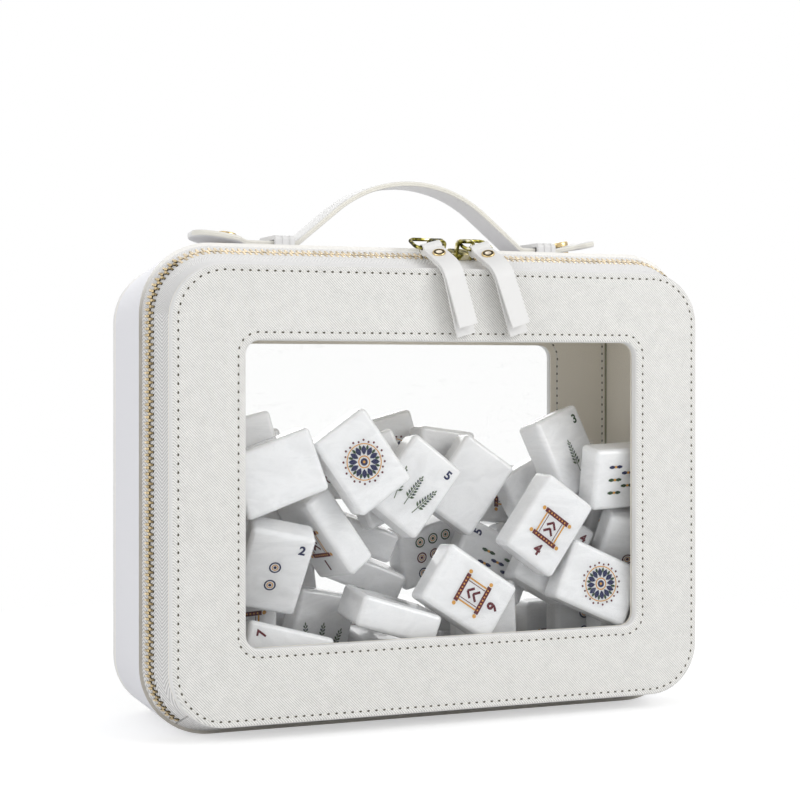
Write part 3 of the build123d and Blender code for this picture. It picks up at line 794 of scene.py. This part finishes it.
def turned(name, profile, seat, finishes, rings, body):
    """A piece turned about its own Z. A profile point is (radius, height), and a
    ring is the radius up to which faces take the finish of its number."""
    shape = bmesh.new()
    verts = [shape.verts.new((radius, 0, height)) for radius, height in profile]
    edges = [shape.edges.new(pair) for pair in zip(verts, verts[1:])]
    bmesh.ops.spin(
        shape, geom=verts + edges, cent=(0, 0, 0), axis=(0, 0, 1), dvec=(0, 0, 0),
        angle=2 * pi, steps=32, use_merge=True, use_duplicate=False)
    bmesh.ops.remove_doubles(shape, verts=shape.verts, dist=1e-6)
    bmesh.ops.recalc_face_normals(shape, faces=shape.faces)
    for face in shape.faces:
        radius = face.calc_center_median().xy.length
        inside = [number for number, ring in enumerate(rings) if radius > ring]
        face.material_index = len(inside)
    bmesh.ops.transform(shape, matrix=seat, verts=shape.verts)
    return keep(name, shape, finishes, body)


def strip_ring(half_width, half_edge, crown, radius):
    """The outline of a strap's cross-section, as (across, up): rounded edges, a
    fine groove where its two leathers meet, and a swollen top and underside."""
    rows = []
    inner = half_width - radius
    for k in range(9):
        across = inner * (1 - k / 4)
        rows.append((across, half_edge + crown * (1 - (across / inner) ** 2)))
    corner = [(inner + radius * sin(t), half_edge - radius + radius * cos(t))
              for t in (radians(70), radians(40))]
    side = [(half_width, half_edge - radius), (half_width, 0.10 * MM),
            (half_width - 0.14 * MM, 0)]
    top = [(-a, u) for a, u in side[::-1] + corner] + rows[::-1] + corner[::-1] + side[:2]
    return top + [(-a, -u) for a, u in top]


def strap_seat(point, along, roll=0.0):
    """The frame at a point of a strap: X along it and Z out of its upper face."""
    ahead = Vector((along.x, 0, along.y))
    up = Vector((-along.y, 0, along.x)) * (1 if along.x > 0 else -1)
    turn = Matrix.Rotation(roll, 3, ahead)
    return seat_at((point.x, 0, point.y), ahead, turn @ up.cross(ahead), turn @ up)


def soft_strip(stations):
    """A strap through stations, each a frame on its middle and the four sizes of its
    ring. Its rounded sides take the second finish."""
    shape = bmesh.new()
    rings = []
    for seat, ring in stations:
        rings.append([shape.verts.new(seat @ Vector((0, across, up)))
                      for across, up in strip_ring(*ring)])
    outline = strip_ring(*stations[0][1])
    side = stations[0][1][0] - 0.2 * MM
    for one, two in zip(rings, rings[1:]):
        for k in range(len(one)):
            face = shape.faces.new((one[k - 1], one[k], two[k], two[k - 1]))
            reach = min(abs(outline[k - 1][0]), abs(outline[k][0]))
            face.material_index = 1 if reach > side else 0
    for end in (rings[0], rings[-1]):
        shape.faces.new(end)
    bmesh.ops.recalc_face_normals(shape, faces=shape.faces)
    return shape


# ------------------------------------------------------------------ sewing
def stitch_pattern():
    """A plump stitch, pointed where it dips into its holes."""
    shape = bmesh.new()
    length, thread = sizes().stitch_length, sizes().thread
    bmesh.ops.create_uvsphere(
        shape, u_segments=6, v_segments=7, radius=0.5,
        matrix=Matrix.Diagonal((length, thread, thread * 0.8, 1)) @ Matrix.Rotation(pi / 2, 4, "Y"))
    return pattern_of(shape)


def hole_pattern():
    """The needle hole at a stitch's end: a flat dark disc, painted shade for the hole's depth."""
    shape = bmesh.new()
    hole = sizes().needle_hole
    bmesh.ops.create_circle(
        shape, cap_ends=True, segments=8, radius=0.5,
        matrix=Matrix.Translation((sizes().stitch_pitch / 2, 0, 0.04 * MM))
        @ Matrix.Diagonal((hole, hole * 0.6, 1, 1)))
    return pattern_of(shape)


def sew(name, rows, body):
    """Rows of stitches as one piece of thread and needle holes. A row is a list of
    places, each a point, its direction and the way out of the leather."""
    stitch, hole = stitch_pattern(), hole_pattern()
    copies = Copies()
    for row in rows:
        for place, along, out in row:
            seat = Matrix((along, out.cross(along), out)).transposed().to_4x4()
            seat.translation = place
            copies.add(stitch, seat)
            copies.add(hole, seat, 1)
    keep_mesh(name, copies.mesh(name), ["sewing_thread", "needle_hole"], body)


def panel_row(track, y, out):
    """Places along an outline on a panel's face."""
    count = round(track.length / sizes().stitch_pitch)
    row = []
    for k in range(count):
        point, along = track.at((k + 0.5) * track.length / count)
        row.append((Vector((point.x, y, point.y)), Vector((along.x, 0, along.y)),
                    Vector((0, out, 0))))
    return row


# ------------------------------------------------------------------ operators
class GAMECASE_OT_stage(bpy.types.Operator):
    """Sets the camera, the lamps, the white surroundings and the floor"""

    bl_idname = "gamecase.stage"
    bl_label = "Stage and camera"

    def execute(self, context):
        stage = context.scene.case_stage
        camera_data = bpy.data.cameras.new("camera")
        camera_data.lens = stage.lens
        camera_data.sensor_width = 36
        camera_data.shift_y = -0.0359
        camera = bpy.data.objects.new("camera", camera_data)
        context.scene.collection.objects.link(camera)
        camera.location = (-0.3172, -0.7486, 0.1523)
        camera.rotation_euler = (radians(90), 0, radians(-22.64))
        context.scene.camera = camera
        context.scene.view_settings.view_transform = "Standard"
        self.lamp("key_lamp", (0.90, -1.25, 1.00), 1.05, stage.key)
        self.lamp("fill_lamp", (-1.9, -0.7, 0.9), 1.6, stage.fill)
        self.lamp("back_lamp", (0.3, 1.9, 0.9), 1.6, stage.back)
        self.surroundings(stage.sky)
        floor = bmesh.new()
        bmesh.ops.create_grid(floor, x_segments=2, y_segments=2, size=6.0)
        bmesh.ops.translate(floor, verts=floor.verts, vec=(0, 0, -0.0002))
        mesh = bpy.data.meshes.new("floor")
        floor.to_mesh(mesh)
        floor.free()
        obj = bpy.data.objects.new("floor", mesh)
        context.scene.collection.objects.link(obj)
        mesh.materials.append(self.floor_paint())
        return {"FINISHED"}

    def lamp(self, name, place, size, power):
        data = bpy.data.lights.new(name, "AREA")
        data.shape = "DISK"
        data.size = size
        data.energy = power
        lamp = bpy.data.objects.new(name, data)
        bpy.context.scene.collection.objects.link(lamp)
        lamp.location = place
        aim = Vector((0, 0, 0.1)) - Vector(place)
        lamp.rotation_euler = aim.to_track_quat("-Z", "Y").to_euler()

    def surroundings(self, strength):
        world = bpy.data.worlds.new("surroundings")
        bpy.context.scene.world = world
        world.use_nodes = True
        tree = world.node_tree
        tree.nodes.clear()
        path = tree.nodes.new("ShaderNodeLightPath")
        seen = path.outputs["Is Camera Ray"]
        for ray in ("Is Glossy Ray", "Is Transmission Ray"):
            either = tree.nodes.new("ShaderNodeMath")
            either.operation = "MAXIMUM"
            tree.links.new(seen, either.inputs[0])
            tree.links.new(path.outputs[ray], either.inputs[1])
            seen = either.outputs[0]
        even, white = (tree.nodes.new("ShaderNodeBackground") for _ in range(2))
        even.inputs["Color"].default_value = (0.97, 0.985, 1.0, 1)
        even.inputs["Strength"].default_value = strength
        white.inputs["Color"].default_value = (1, 1, 1, 1)
        mix = tree.nodes.new("ShaderNodeMixShader")
        tree.links.new(seen, mix.inputs[0])
        tree.links.new(even.outputs[0], mix.inputs[1])
        tree.links.new(white.outputs[0], mix.inputs[2])
        out = tree.nodes.new("ShaderNodeOutputWorld")
        tree.links.new(mix.outputs[0], out.inputs[0])

    def floor_paint(self):
        """A white floor that keeps the case's shadow and fades into the backdrop."""
        paint = Finish("floor")
        coords, x, y, z = paint.place()
        plain = paint.add("ShaderNodeBsdfDiffuse", {}, (0.93, 0.93, 0.93, 1))["BSDF"]
        away = ((x * x + y * y) / (420.0 * 420.0)).least(1.0)
        rays = paint.add("ShaderNodeLightPath")
        camera = rays["Is Camera Ray"]
        white = paint.add(
            "ShaderNodeEmission", {}, (1, 1, 1, 1),
            camera * (1.0 - away) * 0.55 + 1.0)["Emission"]
        seen = camera.most(rays["Is Glossy Ray"])
        seen = seen.most(rays["Is Transmission Ray"])
        share = seen * (0.30 + away * 0.70)
        return paint.out(paint.add("ShaderNodeMixShader", {}, share, plain, white)["Shader"])


class GAMECASE_OT_panels(bpy.types.Operator):
    """Covers the front, the back and the gusset in leather and sews their edges"""

    bl_idname = "gamecase.panels"
    bl_label = "Leather and sewing"

    def execute(self, context):
        dress("front_leather", "front_panel")
        dress("back_leather", "back_panel")
        dress("herringbone_tape", "hinge_strip")
        dress("lining_cloth", "front_lining", "back_lining", "gusset_lining",
              "front_stiffener", "back_stiffener", "gusset_stiffener")
        dress("smooth_leather", "gusset_shell")
        self.edge("gusset_shell", "piped_edge", lambda normal: normal.y < -0.9)
        self.edge("gusset_lining", "lining_edge", lambda normal: normal.y < -0.9)
        for node in ("front_panel", "back_panel"):
            self.edge(node, "smooth_white", lambda normal: abs(normal.y) < 0.8)
        self.sew_panel("front", "front", -1)
        self.sew_panel("back", "case", 1)
        self.sew_gusset()
        self.bind_back()
        return {"FINISHED"}

    def edge(self, node, name, rule):
        """Gives a node's faces whose normals pass a rule their own finish."""
        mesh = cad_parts[node].data
        mesh.materials.append(finish(name))
        for polygon in mesh.polygons:
            polygon.material_index = 1 if rule(polygon.normal) else 0

    def bind_back(self):
        """Inside, round the back panel: a row of stitches, and a narrow dark strip, painted shade,
        in the corner where the gusset's lining meets the panel's."""
        low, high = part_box("back_panel")
        face = high.y - LAYERS

        def outline(inset):
            return rounded_frame(
                high.x - inset, low.z + inset, high.z - inset, PANEL_CORNER["back"] - inset)

        sew("back_seam_at_gusset", [panel_row(outline(5.9 * MM), face, -1)], "case")
        track = outline(3.9 * MM)
        half, height, count = 0.5 * MM, 0.4 * MM, 180
        shape = bmesh.new()
        rings = []
        for k in range(count):
            point, along = track.at(track.length * k / count)
            side = Vector((along.y, 0, -along.x)) * half
            middle = Vector((point.x, face, point.y))
            lift = Vector((0, -height, 0))
            rings.append([shape.verts.new(place) for place in (
                middle - side, middle - side * 0.6 + lift, middle + side * 0.6 + lift,
                middle + side)])
        for k in range(count):
            one, two = rings[k - 1], rings[k]
            for j in range(4):
                shape.faces.new((one[j - 1], one[j], two[j], two[j - 1]))
        bmesh.ops.recalc_face_normals(shape, faces=shape.faces)
        keep("back_binding", shape, ["lining_edge"], "case")

    def sew_gusset(self):
        """The row inside the case that holds the zip tape under the gusset's edge."""
        shape = bmesh.new()
        shape.from_mesh(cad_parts["gusset_lining"].data)
        skin = BVHTree.FromBMesh(shape)
        shape.free()
        low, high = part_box("gusset_lining")
        inset = 12 * MM
        loop = rounded_frame(high.x - inset, low.z + inset, high.z - inset, 15 * MM)
        row = []
        for place, along, _ in panel_row(loop, low.y + 5 * MM, 0):
            out = Vector((-along.z, 0, along.x))
            spot, normal, _, _ = skin.ray_cast(place, out)
            inwards = normal if normal.dot(out) < 0 else -normal
            along -= inwards * along.dot(inwards)
            row.append((spot, along.normalized(), inwards))
        sew("gusset_seam_inside", [row], "case")

    def sew_panel(self, side, body, out):
        outer, inner = sizes().outer_seam, sizes().window_seam
        low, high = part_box(side + "_panel")
        half, window_low, window_high = window_edges()
        edge = rounded_frame(
            high.x - outer, low.z + outer, high.z - outer, PANEL_CORNER[side] - outer)
        window = rounded_frame(
            half + inner, window_low - inner, window_high + inner, WINDOW_CORNER + inner)
        face = low.y if out < 0 else high.y
        inside = face - out * LAYERS
        rows = [panel_row(edge, face, out), panel_row(window, face, out)]
        sew(side + "_seams", rows, body)
        sew(side + "_seams_inside", [panel_row(window, inside, -out)], body)


class GAMECASE_OT_windows(bpy.types.Operator):
    """Makes the two window sheets clear"""

    bl_idname = "gamecase.windows"
    bl_label = "Windows"

    def execute(self, context):
        dress("clear_sheet", "front_window", "back_window")
        return {"FINISHED"}


class GAMECASE_OT_zip(bpy.types.Operator):
    """Finishes the zip's tape, teeth, sliders and links"""

    bl_idname = "gamecase.zip"
    bl_label = "Zip"

    def execute(self, context):
        dress("herringbone_tape", "zip_tape_front", "zip_tape_rear")
        self.teeth("front", "front", -1)
        self.teeth("rear", "case", 1)
        for side in ("left", "right"):
            softened(f"runner_{side}", f"slider_{side}", ["aged_gold"],
                     f"slider_{side}", 0.22 * MM)
            dress("aged_gold", f"pull_link_{side}")
        return {"FINISHED"}

    def tooth_pattern(self):
        """A tooth from its root, at +Y, to its tip: waisted, with a rounded crown.
        Its sides take the second finish and its root the third."""
        half_plan = [(0.42, 1.3), (0.52, 0.8), (0.38, 0.1), (0.66, -0.6), (0.64, -1.4),
                     (0.40, -2.1)]
        plan = half_plan + [(-x, y) for x, y in half_plan[::-1]]
        shape = bmesh.new()
        low, high = ([shape.verts.new((x * MM, y * MM, z * MM)) for x, y in plan]
                     for z in (-0.65, 0.1))
        shape.faces.new(low)
        top = shape.faces.new(high)
        for k in range(len(plan)):
            shape.faces.new((low[k - 1], low[k], high[k], high[k - 1]))
        bmesh.ops.recalc_face_normals(shape, faces=shape.faces)
        soften(shape, 0.22 * MM, 2, top.edges[:])
        bmesh.ops.bisect_plane(
            shape, geom=shape.verts[:] + shape.edges[:] + shape.faces[:], dist=1e-7,
            plane_co=(0, -0.1 * MM, 0), plane_no=(0, 1, 0))
        for face in shape.faces:
            root = face.calc_center_median().y > -0.1 * MM
            face.material_index = 1 if face.normal.z < 0.2 else 2 if root else 0
        return pattern_of(shape)

    def teeth(self, row, body, toward):
        """One row of teeth, each in its CAD tooth's place, meshing in the middle."""
        tooth = self.tooth_pattern()
        copies = Copies()
        for middle, ways in solids("zip_teeth_" + row):
            out, across = ways[0], ways[1]
            if out.dot(middle - Vector((0, middle.y, 0.1))) < 0:
                out = -out
            if across.y * toward < 0:
                across = -across
            # The tape closes over the teeth along the top, where they lie deeper.
            high = out.z > 0.75
            seat = middle - out * (0.35 * MM if high else 0.0)
            copies.add(tooth, seat_at(seat, across.cross(out), across, out), 3 * high)
        name = "teeth_" + row
        # Painted light and shade: tooth sides take painted shade, front roots painted shade and
        # rear roots painted light, and teeth along the top take paler finishes as painted light
        # from above.
        root = "zip_shade" if row == "front" else "zip_pale"
        teeth = keep_mesh(
            name, copies.mesh(name),
            ["zip_metal", "deep_gold", root, "zip_pale", "zip_metal", "zip_pale"], body)
        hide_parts("zip_teeth_" + row)


class GAMECASE_OT_pull_tabs(bpy.types.Operator):
    """Finishes the two folded leather pull tabs and their rivets"""

    bl_idname = "gamecase.pull_tabs"
    bl_label = "Pull tabs"

    def execute(self, context):
        for side in ("left", "right"):
            softened(f"pull_{side}", f"pull_tab_{side}", ["smooth_white"],
                     f"tab_{side}", sizes().cut_edge, 3)
            self.rivet(side)
        return {"FINISHED"}

    def rivet(self, side):
        """A rivet with a dished ring in each head, in the CAD rivet's place."""
        node = "pull_rivet_" + side
        middle, ways = solids(node)[0]
        out = ways[0] if ways[0].y < 0 else -ways[0]
        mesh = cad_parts[node].data
        seat_plane = max((vert.co - middle).dot(out) for vert in mesh.vertices) - 1.0 * MM
        head = [(0, 0.92), (0.9, 0.86), (1.4, 0.70), (1.7, 0.40), (2.3, 0.36), (2.45, 0.60),
                (2.65, 0.66), (2.82, 0.48), (2.9, 0.2), (2.9, 0), (1.0, 0)]
        half = [(radius * MM, seat_plane + height * MM) for radius, height in head]
        across = out.orthogonal().normalized()
        # Painted highlight on the middle of each head, and painted shade in its dished ring.
        rivet = turned(
            f"rivet_{side}", half + [(radius, -height) for radius, height in half[::-1]],
            seat_at(middle, across, out.cross(across), out),
            ["pale_gold", "deep_gold", "polished_gold"], (1.45 * MM, 2.38 * MM), f"tab_{side}")
        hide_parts(node)


class GAMECASE_OT_handle(bpy.types.Operator):
    """Finishes the arched strap, its padded upturned ends, studs and keepers"""

    bl_idname = "gamecase.handle"
    bl_label = "Handle"

    def execute(self, context):
        strap = keep("strap", soft_strip(self.arch()), ["smooth_white", "edge_paint"],
                     "case")
        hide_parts("handle_strap")
        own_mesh(strap)
        for side, hand in (("left", -1), ("right", 1)):
            end = keep(f"paddle_{side}", soft_strip(self.paddle(hand)),
                       ["smooth_white", "edge_paint"], f"handle_end_{side}")
            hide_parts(f"handle_end_{side}")
            self.stud(side, hand)
            softened(f"loop_{side}", f"keeper_{side}", ["smooth_white"], "case",
                     sizes().cut_edge, 3)
        return {"FINISHED"}

    def arch(self):
        """Stations of the raised strap, from keeper to keeper."""
        foot, slope, middle = 54.5 * MM, radians(39.4), HANDLE_DRIFT / 2
        peak = foot * tan(slope)
        bend = (peak - 28.3 * MM) / (1 / cos(slope) - 1)
        end = 58.7 * MM
        track = Track(rounded_line(
            [(-end, STRAP_MIDDLE), (middle - foot, STRAP_MIDDLE),
             (middle, STRAP_MIDDLE + peak), (middle + foot, STRAP_MIDDLE),
             (end, STRAP_MIDDLE)],
            [4 * MM, bend, 4 * MM], radians(2)))
        ring = (STRAP_WIDTH / 2, STRAP_THICK / 2, 0.12 * MM, sizes().strap_edge)
        count = 110
        return [(strap_seat(*track.at(track.length * k / count)), ring)
                for k in range(count + 1)]

    def end_track(self, hand):
        """The middle of one end of the strap, from its keeper to its tip."""
        start, turn, tip = (hand * x * MM + HANDLE_DRIFT for x in (64.5, 74.5, 97.5))
        start -= HANDLE_DRIFT
        rise = abs(tip - turn) * tan(radians(9 if hand < 0 else 11))
        return Track(rounded_line(
            [(start, STRAP_MIDDLE), (turn, STRAP_MIDDLE), (tip, STRAP_MIDDLE + rise)],
            [30 * MM], radians(1)))

    def roll(self, hand):
        """How far a paddle is twisted: the left one shows its underside in front."""
        return radians(4) if hand < 0 else 0.0

    def stud(self, side, hand):
        """A stud through a paddle: a barrel head above and a smaller cap below."""
        track = self.end_track(hand)
        skin = sizes().paddle_edge / 2
        head = [(0, 2.4), (2.4, 2.3), (3.1, 2.0), (3.4, 1.7), (3.8, 2.0), (4.1, 2.05),
                (4.35, 1.8), (4.45, 1.4), (4.45, 0), (1.5, 0)]
        above = [(radius * MM, skin + height * MM) for radius, height in head]
        below = [(radius * 0.9, -skin - (height - skin) * 0.7)
                 for radius, height in above[::-1]]
        # Painted highlight on the middle of the head and cap, and painted shade in the groove round
        # it.
        stud = turned(
            "press_stud_" + side, above + below,
            strap_seat(*track.at(track.length - 16.5 * MM), self.roll(hand)),
            ["pale_gold", "deep_gold", "polished_gold"], (3.0 * MM, 3.6 * MM),
            "handle_end_" + side)
        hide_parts("stud_" + side)

    def paddle(self, hand):
        """Stations of one end of the strap: a neck, then a padded rounded paddle."""
        track = self.end_track(hand)
        wide, edge = 12 * MM, sizes().paddle_edge / 2
        stations = []
        for k in range(61):
            at = track.length * (1 - (1 - k / 60) ** 1.6)
            left = track.length - at
            swell = min(1.0, max(0.0, (at - 15 * MM) / (6 * MM)))
            swell = swell * swell * (3 - 2 * swell)
            half = STRAP_WIDTH / 2 + (wide - STRAP_WIDTH / 2) * swell
            if left < wide:
                half *= max(0.05, 1 - ((wide - left) / wide) ** 2.3) ** (1 / 2.3)
            thick = STRAP_THICK / 2 + (edge - STRAP_THICK / 2) * swell
            bead = 0.9 * MM
            if left < bead:
                thick += sqrt(max(0.0, bead ** 2 - (bead - left) ** 2)) - bead
            crown = sizes().paddle_crown * swell * min(1.0, left / wide)
            radius = min(sizes().strap_edge * (1 + swell), thick * 0.8)
            seat = strap_seat(*track.at(at), self.roll(hand) * swell)
            stations.append((seat, (half, thick, crown, radius)))
        return stations


class Motif:
    """Flat shapes in four inks that together make a tile's print. A shape is a list
    of corners, as (across, up) in millimetres from the middle of the face."""

    def __init__(self):
        self.shapes = []

    def add(self, corners, ink, layer=0):
        self.shapes.append(([Vector(corner) for corner in corners], ink, layer))
        return self

    def disc(self, radius, ink, layer=0, middle=(0, 0), sides=16):
        return self.add([(middle[0] + radius * cos(2 * pi * k / sides),
                          middle[1] + radius * sin(2 * pi * k / sides))
                         for k in range(sides)], ink, layer)

    def ring(self, radius, width, ink, sides=24):
        for k in range(sides):
            corners = []
            for reach, at in ((radius, k), (radius, k + 1),
                              (radius - width, k + 1), (radius - width, k)):
                turn = 2 * pi * at / sides
                corners.append((reach * cos(turn), reach * sin(turn)))
            self.add(corners, ink)
        return self

    def bar(self, width, low, high, ink, layer=0, taper=1.0):
        half = width / 2
        return self.add([(-half, low), (half, low), (half * taper, high),
                         (-half * taper, high)], ink, layer)

    def leaf(self, low, high, width, ink, layer=0):
        rest = [(sin(pi * k / 6) * width / 2, low + (high - low) * k / 6)
                for k in range(7)]
        return self.add(rest + [(-a, u) for a, u in rest[-2:0:-1]], ink, layer)

    def put(self, other, across=0.0, up=0.0, turn=0.0, scale=1.0):
        """Adds a copy of another motif, turned clockwise by degrees."""
        spin = Matrix.Rotation(-radians(turn), 2) * scale
        for corners, ink, layer in other.shapes:
            self.add([spin @ corner + Vector((across, up)) for corner in corners],
                     ink, layer)
        return self

    def patterns(self):
        """The shapes as a pattern for each ink, standing off the tile's face."""
        face = -7 * MM - sizes().print_height
        for ink in INKS:
            points, faces = [], []
            for corners, own, layer in self.shapes:
                if own == ink:
                    start = len(points)
                    depth = face - layer * sizes().print_height * 0.6
                    points += [Vector((c.x * MM, depth, c.y * MM)) for c in corners]
                    faces.append(list(range(start, start + len(corners))))
            if points:
                yield ink, (points, faces, [0] * len(faces))


def numeral(number, ink):
    """A plain bold numeral, 5 mm high, from Blender's own font."""
    curve = bpy.data.curves.new("numeral", "FONT")
    curve.body = str(number)
    curve.size = 7.0
    curve.offset = 0.25
    curve.align_x = "CENTER"
    curve.resolution_u = 3
    text = bpy.data.objects.new("numeral", curve)
    mesh = text.to_mesh()
    motif = Motif()
    for polygon in mesh.polygons:
        motif.add([mesh.vertices[k].co.xy for k in polygon.vertices], ink)
    text.to_mesh_clear()
    bpy.data.objects.remove(text)
    bpy.data.curves.remove(curve)
    return motif


def dot_motif(ink):
    return Motif().ring(3.0, 0.75, ink, 18).ring(1.7, 0.5, "ochre", 14).disc(0.8, ink)


def stick_motif(ink):
    """A bamboo stick of two joints."""
    stick = Motif()
    for low in (-4.2, 0.2):
        stick.leaf(low, low + 4.0, 1.9, ink)
        stick.bar(1.2, low + 0.3, low + 3.7, ink, 1)
    return stick.disc(0.75, "ochre", 2, (0, 0), 10)


def sprig_motif():
    """An upright sprig with pairs of leaves and small berries."""
    sprig = Motif().bar(0.4, -6.5, 5.0, "sage", 0, 0.5)
    leaf = Motif().leaf(0.2, 2.3, 0.8, "sage")
    for k in range(7):
        for hand in (1, -1):
            sprig.put(leaf, 0, -3.4 + 1.3 * k, hand * (54 - 3 * k), 1.1 - 0.07 * k)
            sprig.disc(0.34, "navy" if k % 2 else "green", 1,
                       (hand * (0.95 - 0.06 * k), -2.4 + 1.3 * k), 8)
    return sprig.put(leaf, 0, 5.2, 0, 0.8)


def banner_motif():
    """A framed banner hung between two knobbed rods, with two chevrons on it."""
    banner = Motif()
    for up in (-4.6, 4.6):
        banner.add([(-5.4, up - 0.85), (5.4, up - 0.85), (5.4, up + 0.85),
                    (-5.4, up + 0.85)], "red")
        for hand in (1, -1):
            banner.disc(0.75, "ochre", 0, (hand * 6.3, up), 12)
        for k in range(7):
            banner.disc(0.34, "ochre", 1, (1.3 * (k - 3), up), 6)
    for hand in (1, -1):
        banner.add([(hand * 4.6, -4.0), (hand * 4.0, -4.0), (hand * 4.0, 4.0),
                    (hand * 4.6, 4.0)], "ochre")
        banner.add([(hand * 3.4, -3.6), (hand * 3.1, -3.6), (hand * 3.1, 3.6),
                    (hand * 3.4, 3.6)], "red")
    side = Motif().bar(1.0, -2.8, 0.4, "red")
    for turn, across, up in ((45, 0, 2.4), (-45, 0, 2.4), (45, 0, -0.1), (-45, 0, -0.1)):
        banner.put(side, across + (-1 if turn > 0 else 1) * 0.2, up - 0.4, turn, 0.9)
    return banner


def rosette_motif():
    """A rosette of petals inside a dotted ring."""
    rosette = Motif().ring(6.4, 0.35, "ochre", 32).ring(2.2, 0.4, "ochre")
    petal = Motif().leaf(2.4, 5.7, 1.8, "navy")
    small = Motif().leaf(4.0, 6.0, 0.9, "green")
    bead = Motif().disc(0.42, "red", 0, (0, 7.5), 8)
    for k in range(12):
        rosette.put(petal, 0, 0, 30 * k)
        rosette.put(small, 0, 0, 30 * k + 15)
        rosette.put(bead, 0, 0, 30 * k)
        rosette.put(bead, 0, 0, 30 * k + 15, 0.93)
    return rosette.disc(1.3, "navy").disc(0.5, "ochre", 1, (0, 0), 10)


# Rows of marks on a tile by their number: the heights and how many side by side.
ROWS = {
    1: ((0, 1),), 2: ((5, 1), (-5, 1)), 3: ((7, 1), (0, 1), (-7, 1)),
    4: ((5, 2), (-5, 2)), 5: ((7, 2), (0, 1), (-7, 2)), 6: ((7, 2), (0, 2), (-7, 2)),
    7: ((8, 3), (0, 2), (-8, 2)), 8: ((8, 3), (0, 2), (-8, 3)), 9: ((8, 3), (0, 3), (-8, 3)),
}


def in_rows(number, mark, spacing):
    """Marks in the rows for a number. mark gives the motif for each place."""
    motif = Motif()
    for up, count in ROWS[number]:
        for k in range(count):
            motif.put(mark(k), (k - (count - 1) / 2) * spacing, up * 0.86 - 1.5, 0, 0.86)
    return motif


def tile_print(suit, number):
    """The print of a tile, by its suit and a number from 1 to 9."""
    inks = ("green", "red", "navy")
    if suit == "dots":
        motif = in_rows(number, lambda k: dot_motif(inks[(k + number) % 3]), 7.6)
    elif suit == "sticks":
        motif = in_rows(number, lambda k: stick_motif(inks[(k * k + number) % 3]), 6.0)
    elif suit == "leaves":
        motif = Motif()
        count = 1 + number % 3
        for k in range(count):
            side = k - (count - 1) / 2
            motif.put(sprig_motif(), side * 7.0, -2.5 - abs(side), side * 14, 1.15)
    elif suit == "banners":
        motif = Motif().put(banner_motif(), 0, -1.0, 0, 1.25)
        motif.put(numeral(number, "red"), 0, -14.5)
        return motif
    else:
        return Motif().put(rosette_motif(), 0, 0, number * 4, 1.25)
    return motif.put(numeral(number, inks[number % 3]), 9.2, 11.0, 0, 0.8)


class GAMECASE_OT_tiles(bpy.types.Operator):
    """Sets a rounded pearly tile in each CAD tile's place and prints its face"""

    bl_idname = "gamecase.tiles"
    bl_label = "Tiles"

    def execute(self, context):
        for suit in ("dots", "sticks", "leaves", "banners", "flowers"):
            self.make_suit(suit)
        return {"FINISHED"}

    def tile_seat(self, middle, ways):
        """A tile's matrix: its printed face looks along its own -Y and up is its +Z."""
        back = ways[0] if ways[0].y > 0 else -ways[0]
        up = back.cross(ways[1]).normalized()
        if up.z < 0:
            up = -up
        return seat_at(middle, back.cross(up).normalized(), back, up)

    def tile_pattern(self):
        shape = bmesh.new()
        bmesh.ops.create_cube(
            shape, size=1.0, matrix=Matrix.Diagonal((28 * MM, 14 * MM, 38 * MM, 1)))
        bmesh.ops.bevel(
            shape, geom=shape.edges[:], offset=sizes().tile_round, offset_type="OFFSET",
            affect="EDGES", segments=4, profile=0.5, material=-1)
        return pattern_of(shape)

    def make_suit(self, suit):
        tile = self.tile_pattern()
        copies, prints = Copies(), Copies()
        for number, solid in enumerate(solids("tiles_" + suit)):
            seat = self.tile_seat(*solid)
            copies.add(tile, seat, 0, Vector((0.11, 0.07, 0.05)) * (number + 1))
            face = seat @ Matrix.Rotation(pi, 4, "Z") if self.face_down(seat) else seat
            for ink, pattern in tile_print(suit, 1 + (number * 4 + 2) % 9).patterns():
                prints.add(pattern, face, INKS.index(ink))
        tiles = keep_mesh(
            "pearl_" + suit, copies.mesh("pearl_" + suit), ["pearl_tile"], "case")
        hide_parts("tiles_" + suit)
        even_shading(tiles)
        keep_mesh("print_" + suit, prints.mesh("print_" + suit), INKS, "case",
                  smooth=False)

    def face_down(self, seat):
        """Whether this is one of the two tiles that show their plain backs in front."""
        place = seat.translation
        return place.y < 0 and any(
            (place.xz - Vector(spot)).length < 12 * MM
            for spot in ((0.026, 0.100), (-0.076, 0.107)))


class GAMECASE_PT_panel(bpy.types.Panel):
    """Lists the steps that dress the case"""

    bl_idname = "GAMECASE_PT_panel"
    bl_label = "Game case"
    bl_space_type = "VIEW_3D"
    bl_region_type = "UI"
    bl_category = "Game case"

    def draw(self, context):
        for step in STEPS:
            self.layout.operator(step.bl_idname)
        for group in (context.scene.case_sizes, context.scene.case_colours,
                      context.scene.case_stage):
            for name in group.bl_rna.properties.keys():
                if name not in ("rna_type", "name"):
                    self.layout.prop(group, name)


STEPS = (
    GAMECASE_OT_stage, GAMECASE_OT_panels, GAMECASE_OT_windows, GAMECASE_OT_zip,
    GAMECASE_OT_pull_tabs, GAMECASE_OT_handle, GAMECASE_OT_tiles)
CLASSES = (CaseSizes, CaseColours, StageSettings, *STEPS, GAMECASE_PT_panel)


def register():
    for each in CLASSES:
        bpy.utils.register_class(each)
    bpy.types.Scene.case_sizes = PointerProperty(type=CaseSizes)
    bpy.types.Scene.case_colours = PointerProperty(type=CaseColours)
    bpy.types.Scene.case_stage = PointerProperty(type=StageSettings)


def unregister():
    for name in ("case_sizes", "case_colours", "case_stage"):
        delattr(bpy.types.Scene, name)
    for each in reversed(CLASSES):
        bpy.utils.unregister_class(each)


def main():
    register()
    for step in STEPS:
        group, name = step.bl_idname.split(".")
        getattr(getattr(bpy.ops, group), name)()


if __name__ == "__main__":
    main()
